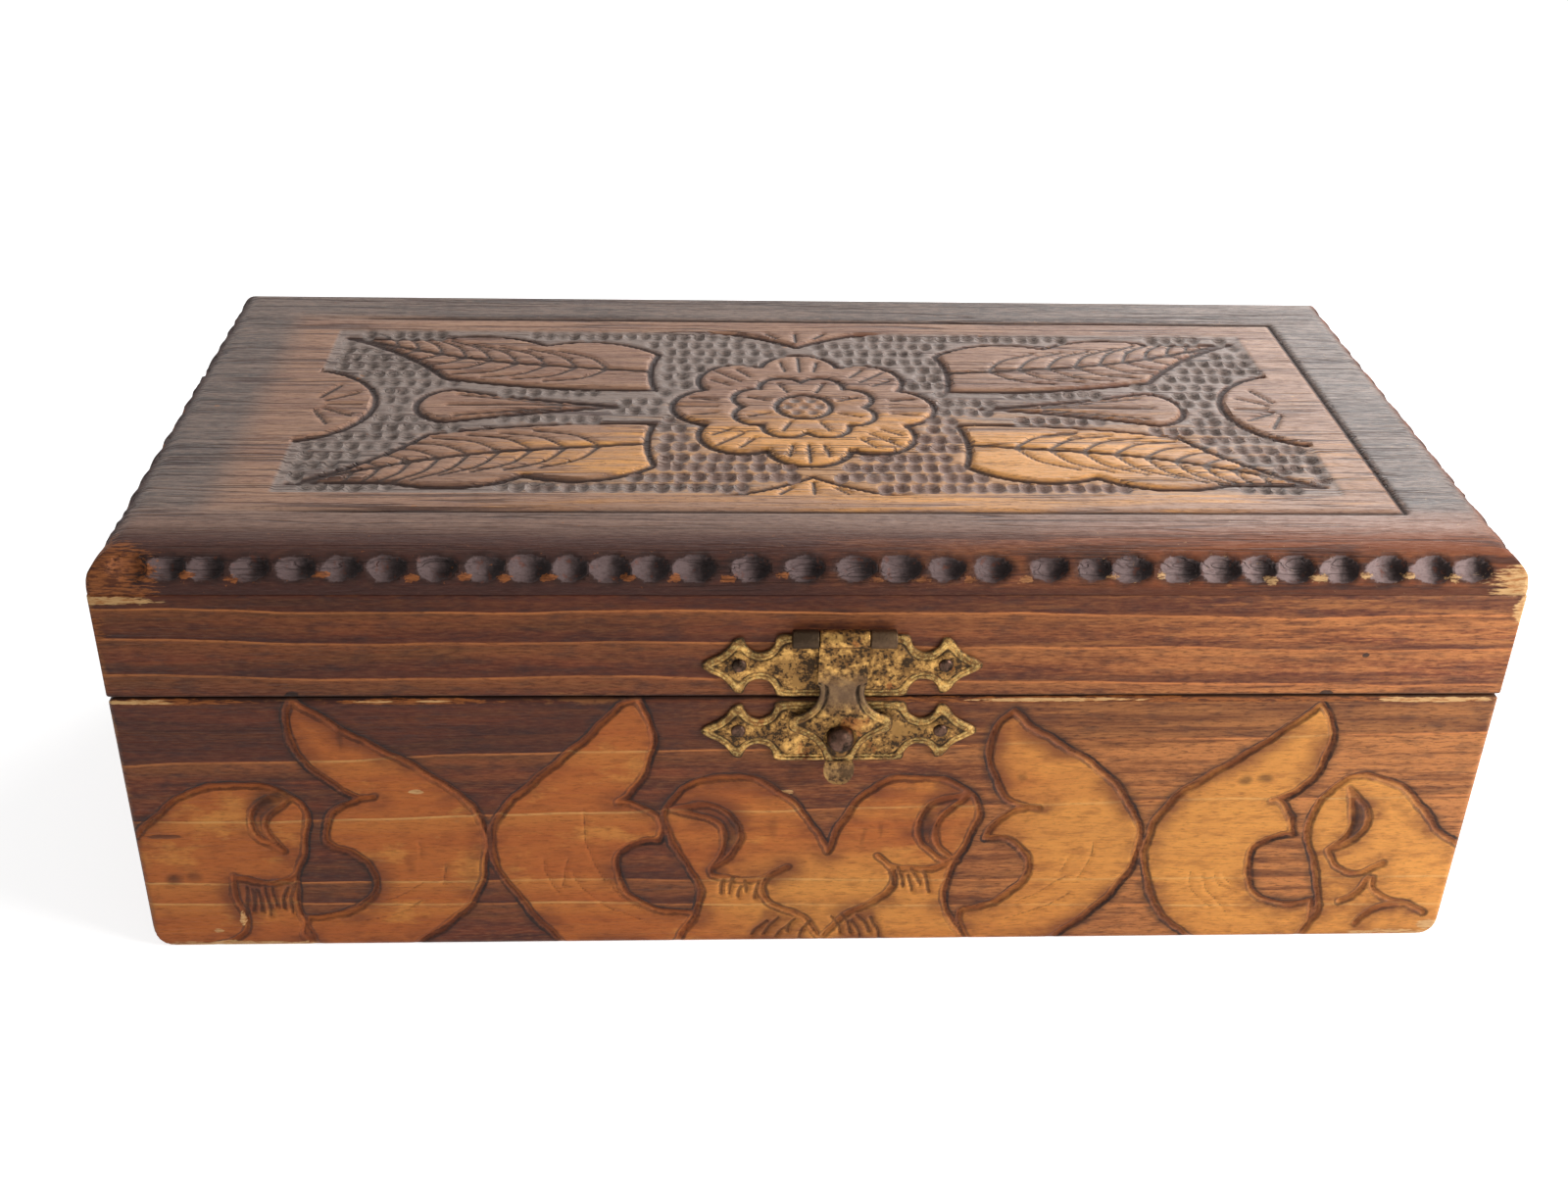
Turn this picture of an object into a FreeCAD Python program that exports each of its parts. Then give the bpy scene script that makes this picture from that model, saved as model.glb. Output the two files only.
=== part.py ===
import FreeCAD, Part
import math
import os
import types

import Sketcher

# A lidded wooden box with burnt decoration: a nailed and glued base, a hinged lid with a rounded,
# dented edge and a carved panel, two butt hinges at the back and a stamped brass hasp at the front.
# The origin is the centre of the underside, +X runs along the length, -Y faces the front, +Z is up.

SIZES = {
    # Wooden box
    "box_length": 280.0,
    "box_depth": 140.0,
    "base_height": 64.0,
    "lid_gap": 0.4,
    "rail_height": 23.6,
    "top_thickness": 8.0,
    "wall_thickness": 6.5,
    "rabbet_depth": 3.5,
    "bottom_thickness": 5.0,
    "edge_round": 7.0,
    # Burnt dents along the rounded edge
    "dent_radius": 4.5,
    "dent_depth": 1.4,
    "dent_pitch": 8.75,
    "dent_tilt": 35.0,
    "dent_end_margin": 8.0,
    # Carved panel on the lid: a border line, a band and a sunk ground that leaves a design standing
    "margin_width": 19.5,
    "border_width": 2.0,
    "border_depth": 0.8,
    "band_end_width": 10.0,
    "band_side_width": 7.5,
    "ground_sink": 0.6,
    "design_tuck": 2.0,
    "rosette_valley": 24.0,
    "petal_bulge": 7.5,
    "crown_half_width": 27.0,
    "crown_drop": 8.5,
    "crown_bulge": 2.0,
    "fan_half_width": 19.0,
    "fan_bulge": 17.0,
    "bud_root_inset": 70.5,
    "bud_inset": 31.5,
    "bud_half_width": 8.5,
    "bud_cheek_bulge": 0.8,
    "bud_nose_bulge": 7.5,
    # Brads under the bottom
    "brad_radius": 0.6,
    "brad_length": 12.0,
    "brad_inset": 1.75,
    "brad_spacing": 100.0,
    "brad_end_spacing": 35.0,
    # Brass sheet, domed pins and their fits
    "sheet_thickness": 0.8,
    "pin_shank_radius": 0.7,
    "pin_depth": 4.5,
    "pin_head_radius": 1.5,
    "pin_head_height": 0.9,
    "pin_dome_round": 0.8,
    "fit_gap": 0.02,
    "running_gap": 0.05,
    "knuckle_gap": 0.15,
    "swing_gap": 0.3,
    # Hasp plate on the lid and catch plate on the base
    "hasp_offset": 4.7,
    "hasp_rise": 8.0,
    "catch_drop": 7.3,
    "plate_length": 56.0,
    "plate_height": 13.8,
    "lobe_inset": 7.7,
    "shoulder_inset": 2.0,
    "shoulder_drop": 1.4,
    "shoulder_radius": 3.3,
    "notch_inset": 11.6,
    "notch_sink": 1.1,
    "notch_radius": 2.7,
    "plate_pin_inset": 7.5,
    # Hinge of the hasp
    "hasp_knuckle_radius": 1.9,
    "hasp_pin_radius": 0.8,
    "plate_knuckle_length": 5.2,
    # Strap of the hasp
    "strap_width": 9.8,
    "shield_width": 21.0,
    "neck_drop": 12.0,
    "neck_radius": 6.1,
    "scallop_drop": 28.7,
    "scallop_radius": 7.5,
    "tab_drop": 30.2,
    "tab_radius": 2.9,
    # Stud of the catch
    "stud_radius": 2.75,
    "stud_height": 5.6,
    "stud_dome_round": 2.5,
    "stud_shank_radius": 1.2,
    "stud_gap": 0.75,
    # Butt hinges on the back
    "hinge_spread": 85.0,
    "leaf_length": 25.0,
    "leaf_width": 10.0,
    "leaf_nail_spread": 8.0,
    "leaf_nail_row": 6.0,
    "hinge_knuckle_radius": 1.75,
    "hinge_pin_radius": 0.9,
    "hinge_knuckle_length": 8.2,
    # How far a cut runs past the face it starts from
    "cut_past": 1.0,
}

# Corners of a carved leaf: inset from the panel's end, height above the panel's middle line, and how
# far the edge to the next corner bows out
LEAF_CORNERS = {
    "root": (77.0, 9.0, 2.0),
    "belly": (28.5, 15.0, -2.2),
    "tip": (3.0, 38.5, -0.6),
    "crest": (24.5, 38.0, 3.5),
    "notch": (50.5, 34.5, 4.5),
    "heel": (77.5, 29.5, -1.5),
}
for corner, lengths in LEAF_CORNERS.items():
    for kind, length in zip(("inset", "height", "bulge"), lengths):
        SIZES[f"leaf_{corner}_{kind}"] = length

PETALS = 8


# Two levels that differ by less than this are taken as one
SAME_LEVEL = 1e-4


class Size:
    """A length with the spreadsheet formula that it follows."""

    def __init__(self, formula, value):
        self.formula = formula
        self.value = value

    def __add__(self, other):
        other = as_size(other)
        return Size(f"({self.formula} + {other.formula})", self.value + other.value)

    def __sub__(self, other):
        other = as_size(other)
        return Size(f"({self.formula} - {other.formula})", self.value - other.value)

    def __mul__(self, factor):
        return Size(f"({self.formula} * {factor})", self.value * factor)

    def __truediv__(self, divisor):
        return Size(f"({self.formula} / {divisor})", self.value / divisor)

    def __neg__(self):
        return self * -1


def as_size(number):
    """Take a Size as it is, and a plain number as a constant formula."""
    return number if isinstance(number, Size) else Size(str(number), number)


def make_sheet():
    """Write the driving dimensions into a spreadsheet and return them as sizes."""
    sheet = doc.addObject("Spreadsheet::Sheet", "sizes")
    for row, (name, value) in enumerate(SIZES.items(), start=1):
        sheet.set(f"A{row}", name)
        sheet.set(f"B{row}", str(value))
        sheet.setAlias(f"B{row}", name)
    doc.recompute()
    return types.SimpleNamespace(
        **{name: Size(f"sizes.{name}", value) for name, value in SIZES.items()})


doc = FreeCAD.newDocument("pyrography_box")
s = make_sheet()

# Levels and faces that several pieces share
half_length = s.box_length / 2
half_depth = s.box_depth / 2
lid_bottom = s.base_height + s.lid_gap
rail_top = lid_bottom + s.rail_height
tongue = s.wall_thickness - s.rabbet_depth

lid_top = rail_top + s.top_thickness
border_x = half_length - s.margin_width
border_y = half_depth - s.margin_width
panel_x = border_x - s.band_end_width
panel_y = border_y - s.band_side_width

hasp_x = s.hasp_offset
plate_face = half_depth + s.sheet_thickness
hasp_plate_z = lid_bottom + s.hasp_rise
catch_z = s.base_height - s.catch_drop
hasp_axis_z = hasp_plate_z + s.plate_height / 2
hasp_axis_out = half_depth + s.hasp_knuckle_radius + s.swing_gap

hinge_axis_z = s.base_height + s.lid_gap / 2
hinge_axis_out = half_depth + s.hinge_knuckle_radius + s.swing_gap

sub_parts = []


# Small drawing helpers

def new_body(label):
    body = doc.addObject("PartDesign::Body", label)
    body.Label = label
    sub_parts.append(body)
    return body


def bind(feature, **sizes):
    """Tie properties of a feature to size formulas."""
    for name, size in sizes.items():
        feature.setExpression(name, as_size(size).formula)


def origin_feature(body, role):
    return next(f for f in body.Origin.OriginFeatures if f.Role == role)


def new_sketch(body, plane, offset=0):
    """Add a sketch on an origin plane, moved out along the plane's normal.

    The normals are +Z for XY_Plane, -Y for XZ_Plane and +X for YZ_Plane.
    """
    sketch = body.newObject("Sketcher::SketchObject", f"{body.Name}_sketch")
    sketch.AttachmentSupport = (origin_feature(body, plane), [""])
    sketch.MapMode = "FlatFace"
    sketch.setExpression("AttachmentOffset.Base.z", as_size(offset).formula)
    return sketch


def constrain(sketch, kind, *where_and_size):
    *where, size = where_and_size
    size = as_size(size)
    index = sketch.addConstraint(Sketcher.Constraint(kind, *where, size.value))
    sketch.setExpression(f"Constraints[{index}]", size.formula)


def bow_radius(start, end, bulge):
    """Radius of an arc between two corners whose middle stands off their line by the bulge."""
    across, along = end[0] - start[0], end[1] - start[1]
    formula = (f"((({across.formula})^2 + ({along.formula})^2) / 4 + ({bulge.formula})^2)"
               f" / (2 * abs({bulge.formula}))")
    half_chord = math.hypot(across.value, along.value) / 2
    return Size(f"({formula})", (half_chord ** 2 + bulge.value ** 2) / (2 * abs(bulge.value)))


def add_edge(sketch, start, end, bulge):
    """Draw a line or an arc between two corners: its number and which of its ends start and end are.

    A sketch's arcs run counterclockwise, so one that bows to the left of its way is drawn backwards.
    """
    first = FreeCAD.Vector(start[0].value, start[1].value, 0)
    last = FreeCAD.Vector(end[0].value, end[1].value, 0)
    if bulge.value == 0:
        return sketch.addGeometry(Part.LineSegment(first, last)), 1, 2
    way = (last - first).normalize()
    crown = (first + last) / 2 + FreeCAD.Vector(way.y, -way.x, 0) * bulge.value
    if bulge.value > 0:
        edge, begin, finish = sketch.addGeometry(Part.Arc(first, crown, last)), 1, 2
    else:
        edge, begin, finish = sketch.addGeometry(Part.Arc(last, crown, first)), 2, 1
    constrain(sketch, "Radius", edge, bow_radius(start, end, bulge))
    return edge, begin, finish


def add_outline(sketch, corners):
    """Draw a closed outline with every corner tied to its sizes.

    A corner is x, y and the bulge of the edge to the next corner, to the right of the way there.
    """
    corners = [tuple(as_size(part) for part in corner) for corner in corners]
    edges = [add_edge(sketch, start[:2], end[:2], start[2])
             for start, end in zip(corners, corners[1:] + corners[:1])]
    for (edge, _, finish), (following, begin, _) in zip(edges, edges[1:] + edges[:1]):
        sketch.addConstraint(Sketcher.Constraint("Coincident", edge, finish, following, begin))
    for (edge, begin, _), (x, y, _) in zip(edges, corners):
        constrain(sketch, "DistanceX", -1, 1, edge, begin, x)
        constrain(sketch, "DistanceY", -1, 1, edge, begin, y)


def add_polygon(sketch, corners):
    add_outline(sketch, [(x, y, 0) for x, y in corners])


def add_rectangle(sketch, x_low, x_high, y_low, y_high):
    add_polygon(sketch, [(x_low, y_low), (x_high, y_low), (x_high, y_high), (x_low, y_high)])


def add_circles(sketch, spots, radius):
    for x, y in spots:
        x, y = as_size(x), as_size(y)
        centre = FreeCAD.Vector(x.value, y.value, 0)
        circle = sketch.addGeometry(Part.Circle(centre, FreeCAD.Vector(0, 0, 1), radius.value))
        constrain(sketch, "DistanceX", -1, 1, circle, 3, x)
        constrain(sketch, "DistanceY", -1, 1, circle, 3, y)
        constrain(sketch, "Radius", circle, radius)


def pad(body, sketch, length, backwards=False, both_ways=False):
    feature = body.newObject("PartDesign::Pad", f"{body.Name}_pad")
    feature.Profile = sketch
    feature.Reversed = backwards
    if both_ways:
        feature.SideType = "Symmetric"
    bind(feature, Length=length)
    doc.recompute()
    return feature


def pocket(body, sketch, length=None, backwards=False):
    """Cut to a length, or both ways through everything, and make sure that something was cut."""
    volume_before = body.Shape.Volume
    feature = body.newObject("PartDesign::Pocket", f"{body.Name}_pocket")
    feature.Profile = sketch
    feature.Reversed = backwards
    if length is None:
        feature.Type = "ThroughAll"
        feature.SideType = "Symmetric"
    else:
        bind(feature, Length=length)
    doc.recompute()
    if body.Shape.Volume >= volume_before:
        raise RuntimeError(f"a pocket in {body.Label} cuts nothing")
    return feature


def drill(body, plane, offset, spots, radius, depth=None, backwards=False):
    sketch = new_sketch(body, plane, offset)
    add_circles(sketch, spots, radius)
    return pocket(body, sketch, depth, backwards)


def round_edges(body, base, radius, chosen):
    """Fillet the edges of the last feature for which chosen(edge) is true."""
    names = [f"Edge{i}" for i, edge in enumerate(base.Shape.Edges, start=1) if chosen(edge)]
    feature = body.newObject("PartDesign::Fillet", f"{body.Name}_fillet")
    feature.Base = (base, names)
    bind(feature, Radius=radius)
    doc.recompute()
    return feature


def flat_at(edge, axis, level):
    """True where the whole edge lies at one level of an axis."""
    low = getattr(edge.BoundBox, f"{axis}Min")
    high = getattr(edge.BoundBox, f"{axis}Max")
    return abs(low - level) < SAME_LEVEL and abs(high - level) < SAME_LEVEL


def four_ways(x, y, centre_x=0, centre_y=0):
    """A spot and its mirror images about a centre."""
    return [(as_size(centre_x) + x * side, as_size(centre_y) + y * end)
            for side in (-1, 1) for end in (-1, 1)]


# Places of the pins and nails

def plate_pin_spots(centre_z):
    reach = s.plate_length / 2 - s.plate_pin_inset
    return [(hasp_x + reach * side, centre_z) for side in (-1, 1)]


def hinge_nail_spots(side):
    """Nails of both leaves that are above (side 1) or below (side -1) the hinge axis."""
    height = hinge_axis_z + s.leaf_nail_row * side
    return [(s.hinge_spread * hinge + s.leaf_nail_spread * end, height)
            for hinge in (-1, 1) for end in (-1, 1)]


def long_side_brad_spots(side):
    inset = half_depth - tongue - s.brad_inset
    return [(s.brad_spacing * step, inset * side) for step in (-1, 0, 1)]


def end_brad_spots(side):
    inset = half_length - tongue - s.brad_inset
    return [(inset * side, s.brad_end_spacing * step) for step in (-1, 1)]


pin_hole_radius = s.pin_shank_radius + s.fit_gap
brad_hole_radius = s.brad_radius + s.fit_gap


# Boards of the base and the lid

def long_board(label, side, bottom, height):
    """A front (side -1) or back (side 1) board, rabbeted at both ends for the end boards."""
    body = new_body(label)
    outside = half_depth * side
    shoulder = (half_depth - tongue) * side
    inside = (half_depth - s.wall_thickness) * side
    inner_end = half_length - s.wall_thickness
    sketch = new_sketch(body, "XY_Plane", bottom)
    add_polygon(sketch, [
        (-half_length, outside), (half_length, outside), (half_length, shoulder),
        (inner_end, shoulder), (inner_end, inside), (-inner_end, inside),
        (-inner_end, shoulder), (-half_length, shoulder)])
    pad(body, sketch, height)
    return body


def end_board(label, side, bottom, height):
    """A left (side -1) or right (side 1) board that fits into the rabbets of the long boards."""
    body = new_body(label)
    outside = half_length * side
    inside = (half_length - s.wall_thickness) * side
    reach = half_depth - tongue
    sketch = new_sketch(body, "XY_Plane", bottom)
    add_polygon(sketch, [(outside, -reach), (outside, reach), (inside, reach), (inside, -reach)])
    pad(body, sketch, height)
    return body


def cut_bottom_rabbet(body, plane, half_size, side):
    """Cut the rabbet for the bottom along the lower inside edge of a wall."""
    shoulder = (half_size - tongue) * side
    past = (half_size - s.wall_thickness - s.cut_past) * side
    sketch = new_sketch(body, plane)
    add_rectangle(sketch, shoulder, past, -s.cut_past, s.bottom_thickness)
    pocket(body, sketch)


def drill_for_brads(body, spots):
    depth = s.brad_length - s.bottom_thickness + s.fit_gap
    drill(body, "XY_Plane", s.bottom_thickness, spots, brad_hole_radius, depth, backwards=True)


def drill_for_pins(body, spots, side):
    """Drill for the shanks of domed pins from the front (side -1) or the back (side 1)."""
    drill(body, "XZ_Plane", half_depth * -side, spots, pin_hole_radius, s.pin_depth + s.fit_gap,
          backwards=side > 0)


def make_base():
    front = long_board("base_front_board", -1, 0, s.base_height)
    cut_bottom_rabbet(front, "YZ_Plane", half_depth, -1)
    drill_for_brads(front, long_side_brad_spots(-1))
    drill_for_pins(front, plate_pin_spots(catch_z), -1)

    back = long_board("base_back_board", 1, 0, s.base_height)
    cut_bottom_rabbet(back, "YZ_Plane", half_depth, 1)
    drill_for_brads(back, long_side_brad_spots(1))
    drill_for_pins(back, hinge_nail_spots(-1), 1)

    for name, side in (("left", -1), ("right", 1)):
        end = end_board(f"base_{name}_board", side, 0, s.base_height)
        cut_bottom_rabbet(end, "XZ_Plane", half_length, side)
        drill_for_brads(end, end_brad_spots(side))

    make_bottom()


def make_bottom():
    """The bottom board in the rabbets, and the brads that hold it."""
    spots = [spot for side in (-1, 1) for spot in long_side_brad_spots(side) + end_brad_spots(side)]
    reach_x = half_length - tongue
    reach_y = half_depth - tongue
    board = new_body("bottom_board")
    sketch = new_sketch(board, "XY_Plane")
    add_rectangle(sketch, -reach_x, reach_x, -reach_y, reach_y)
    pad(board, sketch, s.bottom_thickness)
    drill(board, "XY_Plane", s.bottom_thickness, spots, brad_hole_radius)

    brads = new_body("bottom_brads")
    sketch = new_sketch(brads, "XY_Plane")
    add_circles(sketch, spots, s.brad_radius)
    pad(brads, sketch, s.brad_length)


def make_lid_frame():
    front = long_board("lid_front_rail", -1, lid_bottom, s.rail_height)
    drill_for_pins(front, plate_pin_spots(hasp_plate_z), -1)
    back = long_board("lid_back_rail", 1, lid_bottom, s.rail_height)
    drill_for_pins(back, hinge_nail_spots(1), 1)
    for name, side in (("left", -1), ("right", 1)):
        end_board(f"lid_{name}_rail", side, lid_bottom, s.rail_height)


def dent_ball(body, x, y, z):
    """A ball that gouges one dent."""
    ball = body.newObject("PartDesign::SubtractiveSphere", f"{body.Name}_dent")
    ball.AttachmentSupport = (origin_feature(body, "XY_Plane"), [""])
    ball.MapMode = "FlatFace"
    bind(ball, Radius=s.dent_radius)
    for axis, size in (("x", x), ("y", y), ("z", z)):
        ball.setExpression(f"AttachmentOffset.Base.{axis}", as_size(size).formula)
    doc.recompute()
    return ball


def dent_row(body, balls, role, row_length):
    """Repeat the first dent of a row at the dent pitch, as often as the row has room for."""
    row = body.newObject("PartDesign::LinearPattern", f"{body.Name}_dent_row")
    row.Originals = balls
    row.Direction = (origin_feature(body, role), [""])
    row.Mode = "Spacing"
    row.setExpression("Offset", s.dent_pitch.formula)
    row.setExpression("Occurrences", dent_count(row_length))
    body.Tip = row
    doc.recompute()


def dent_count(row_length):
    room = row_length - s.dent_end_margin * 2
    return f"floor({room.formula} / {s.dent_pitch.formula}) + 1"


def row_start(row_length):
    """Distance from the middle of a row to its first dent."""
    count = dent_count(row_length)
    room = row_length - s.dent_end_margin * 2
    steps = room.value // s.dent_pitch.value
    return Size(f"(({count} - 1) * {s.dent_pitch.formula} / 2)", steps * s.dent_pitch.value / 2)


def tilted(length, share):
    """The outward (cos) or upward (sin) share of a length that leans at the dents' tilt."""
    factor = getattr(math, share)(math.radians(s.dent_tilt.value))
    return Size(f"({length.formula} * {share}({s.dent_tilt.formula} * 1 deg))", length.value * factor)


def on_circle(radius, degrees):
    """A spot on a circle about the origin."""
    angle = math.radians(degrees)
    return [Size(f"({radius.formula} * {share.__name__}({degrees} deg))", radius.value * share(angle))
            for share in (math.cos, math.sin)]


def flipped(corners, side, end):
    """Corners of an outline flipped to the left (side -1) or the front (end -1)."""
    return [(as_size(x) * side, as_size(y) * end, as_size(bulge) * (side * end)) for x, y, bulge in corners]


def rosette_outline():
    step = 360 / PETALS
    return [(*on_circle(s.rosette_valley, step * (petal + 0.5)), s.petal_bulge) for petal in range(PETALS)]


def leaf_outline():
    corners = []
    for corner in LEAF_CORNERS:
        inset = getattr(s, f"leaf_{corner}_inset")
        height = getattr(s, f"leaf_{corner}_height")
        bulge = getattr(s, f"leaf_{corner}_bulge")
        corners.append((panel_x - inset, height, bulge))
    return corners


def bud_outline():
    """A drop that points to the rosette and is round towards the panel's end."""
    root = panel_x - s.bud_root_inset
    nose = panel_x - s.bud_inset
    return [(root, 0, -s.bud_cheek_bulge), (nose, -s.bud_half_width, s.bud_nose_bulge),
            (nose, s.bud_half_width, -s.bud_cheek_bulge)]


def fan_outline():
    """A half round that grows out of the band at the panel's end."""
    root = panel_x + s.design_tuck
    return [(root, -s.fan_half_width, 0), (root, s.fan_half_width, s.fan_bulge)]


def crown_outline():
    """A point that hangs from the band at the panel's back."""
    root = panel_y + s.design_tuck
    return [(-s.crown_half_width, root, -s.crown_bulge), (0, panel_y - s.crown_drop, -s.crown_bulge),
            (s.crown_half_width, root, 0)]


def carve_panel(body):
    """The border line and the sunk ground of the lid, with the design left standing."""
    sketch = new_sketch(body, "XY_Plane", lid_top)
    add_rectangle(sketch, -panel_x, panel_x, -panel_y, panel_y)
    pocket(body, sketch, s.ground_sink)
    both = (-1, 1)
    design = [
        [rosette_outline()],
        [flipped(leaf_outline(), side, end) for side in both for end in both],
        [flipped(bud_outline(), side, 1) for side in both],
        [flipped(fan_outline(), side, 1) for side in both],
        [flipped(crown_outline(), 1, end) for end in both],
    ]
    for outlines in design:
        sketch = new_sketch(body, "XY_Plane", lid_top - s.ground_sink)
        for corners in outlines:
            add_outline(sketch, corners)
        pad(body, sketch, s.ground_sink)
    half_line = s.border_width / 2
    sketch = new_sketch(body, "XY_Plane", lid_top)
    for edge in (half_line, -half_line):
        add_rectangle(sketch, -border_x - edge, border_x + edge, -border_y - edge, border_y + edge)
    pocket(body, sketch, s.border_depth)


def make_top_board():
    """The top board: rounded upper edges, a carved panel, and dents along the front and both ends."""
    body = new_body("lid_top_board")
    sketch = new_sketch(body, "XY_Plane", rail_top)
    add_rectangle(sketch, -half_length, half_length, -half_depth, half_depth)
    board = pad(body, sketch, s.top_thickness)
    round_edges(body, board, s.edge_round, lambda edge: flat_at(edge, "Z", lid_top.value))
    carve_panel(body)

    # Each ball stands off the rounding's own centre line, so that it sinks in by the dent's depth
    stand_off = s.edge_round + s.dent_radius - s.dent_depth
    out = tilted(stand_off, "cos") - s.edge_round
    height = lid_top - s.edge_round + tilted(stand_off, "sin")
    front_y = -half_depth - out
    end_x = half_length + out
    first = dent_ball(body, -row_start(s.box_length), front_y, height)
    dent_row(body, [first], "X_Axis", s.box_length)
    ends = [dent_ball(body, end_x * side, -row_start(s.box_depth), height) for side in (-1, 1)]
    dent_row(body, ends, "Y_Axis", s.box_depth)


# Domed pins

def make_pins(label, spots, side):
    """Domed pins through a plate on the front (side -1) or the back (side 1) of a board."""
    body = new_body(label)
    face = plate_face * -side
    sketch = new_sketch(body, "XZ_Plane", face)
    add_circles(sketch, spots, s.pin_head_radius)
    heads = pad(body, sketch, s.pin_head_height, backwards=side > 0)
    crown = (plate_face + s.pin_head_height).value * side
    round_edges(body, heads, s.pin_dome_round, lambda edge: flat_at(edge, "Y", crown))
    sketch = new_sketch(body, "XZ_Plane", face)
    add_circles(sketch, spots, s.pin_shank_radius)
    pad(body, sketch, s.sheet_thickness + s.pin_depth, backwards=side < 0)


# Hasp at the front

def stamped_plate(label, centre_z):
    """A plate with pointed ends, side lobes and round notches, flat on the front of the box."""
    body = new_body(label)
    tip = s.plate_length / 2
    half_height = s.plate_height / 2
    lobe = tip - s.lobe_inset
    low, high = centre_z - half_height, centre_z + half_height
    sketch = new_sketch(body, "XZ_Plane", half_depth)
    add_polygon(sketch, [
        (hasp_x - tip, centre_z), (hasp_x - lobe, low), (hasp_x + lobe, low),
        (hasp_x + tip, centre_z), (hasp_x + lobe, high), (hasp_x - lobe, high)])
    pad(body, sketch, s.sheet_thickness)

    notches = four_ways(tip - s.notch_inset, half_height - s.notch_sink, hasp_x, centre_z)
    shoulders = four_ways(tip - s.shoulder_inset, half_height - s.shoulder_drop, hasp_x, centre_z)
    drill(body, "XZ_Plane", plate_face, notches, s.notch_radius)
    drill(body, "XZ_Plane", plate_face, shoulders, s.shoulder_radius)
    drill(body, "XZ_Plane", plate_face, plate_pin_spots(centre_z), pin_hole_radius)
    return body


def barrel(body, radius, length):
    """A rolled knuckle round the hasp's axis, centred on the hasp."""
    sketch = new_sketch(body, "YZ_Plane", hasp_x)
    add_circles(sketch, [(-hasp_axis_out, hasp_axis_z)], radius)
    return pad(body, sketch, length, both_ways=True)


def bore(body, radius):
    drill(body, "YZ_Plane", hasp_x, [(-hasp_axis_out, hasp_axis_z)], radius)


def make_hasp_plate():
    """The plate on the lid, with a knuckle on each side of the strap's knuckle."""
    body = stamped_plate("hasp_plate", hasp_plate_z)
    half_opening = s.strap_width / 2 + s.knuckle_gap
    reach = s.hasp_knuckle_radius + s.swing_gap
    barrel(body, s.hasp_knuckle_radius, (half_opening + s.plate_knuckle_length) * 2)
    sketch = new_sketch(body, "XZ_Plane", hasp_axis_out)
    add_rectangle(sketch, hasp_x - half_opening, hasp_x + half_opening,
                  hasp_axis_z - reach, hasp_axis_z + reach)
    pocket(body, sketch)
    bore(body, s.hasp_pin_radius + s.fit_gap)

    pin = new_body("hasp_pin")
    barrel(pin, s.hasp_pin_radius, (half_opening + s.plate_knuckle_length) * 2)


def make_strap():
    """The strap: a knuckle, a waisted neck, a shield with an eye for the stud, and a finger tab."""
    body = new_body("hasp_strap")
    face = hasp_axis_out - s.sheet_thickness / 2
    half_shield = s.shield_width / 2
    neck_z = hasp_axis_z - s.neck_drop
    scallop_z = hasp_axis_z - s.scallop_drop
    tab_z = hasp_axis_z - s.tab_drop

    sketch = new_sketch(body, "XZ_Plane", face)
    half_width = s.strap_width / 2
    add_polygon(sketch, [
        (hasp_x - half_width, hasp_axis_z), (hasp_x - half_width, neck_z),
        (hasp_x - half_shield, neck_z), (hasp_x - half_shield, scallop_z),
        (hasp_x + half_shield, scallop_z), (hasp_x + half_shield, neck_z),
        (hasp_x + half_width, neck_z), (hasp_x + half_width, hasp_axis_z)])
    pad(body, sketch, s.sheet_thickness)

    front = face + s.sheet_thickness
    neck_sides = [(hasp_x + half_shield * side, neck_z) for side in (-1, 1)]
    scallops = [(hasp_x + half_shield * side, scallop_z) for side in (-1, 1)]
    drill(body, "XZ_Plane", front, neck_sides, s.neck_radius)
    drill(body, "XZ_Plane", front, scallops, s.scallop_radius)
    sketch = new_sketch(body, "XZ_Plane", face)
    add_circles(sketch, [(hasp_x, tab_z)], s.tab_radius)
    pad(body, sketch, s.sheet_thickness)
    drill(body, "XZ_Plane", front, [(hasp_x, catch_z)], s.stud_radius + s.stud_gap)
    barrel(body, s.hasp_knuckle_radius, s.strap_width)
    bore(body, s.hasp_pin_radius + s.running_gap)


def make_catch():
    """The plate on the base and the domed stud riveted through it."""
    plate = stamped_plate("catch_plate", catch_z)
    centre = [(hasp_x, catch_z)]
    drill(plate, "XZ_Plane", plate_face, centre, s.stud_shank_radius + s.fit_gap)

    stud = new_body("catch_stud")
    sketch = new_sketch(stud, "XZ_Plane", plate_face)
    add_circles(sketch, centre, s.stud_radius)
    knob = pad(stud, sketch, s.stud_height)
    crown = -(plate_face + s.stud_height).value
    round_edges(stud, knob, s.stud_dome_round, lambda edge: flat_at(edge, "Y", crown))
    sketch = new_sketch(stud, "XZ_Plane", plate_face)
    add_circles(sketch, centre, s.stud_shank_radius)
    pad(stud, sketch, s.sheet_thickness, backwards=True)


# Butt hinges at the back

def place_hinge(body, side):
    body.setExpression("Placement.Base.x", (s.hinge_spread * side).formula)


def hinge_barrel(body, radius, length):
    sketch = new_sketch(body, "YZ_Plane")
    add_circles(sketch, [(hinge_axis_out, hinge_axis_z)], radius)
    pad(body, sketch, length, both_ways=True)


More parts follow.
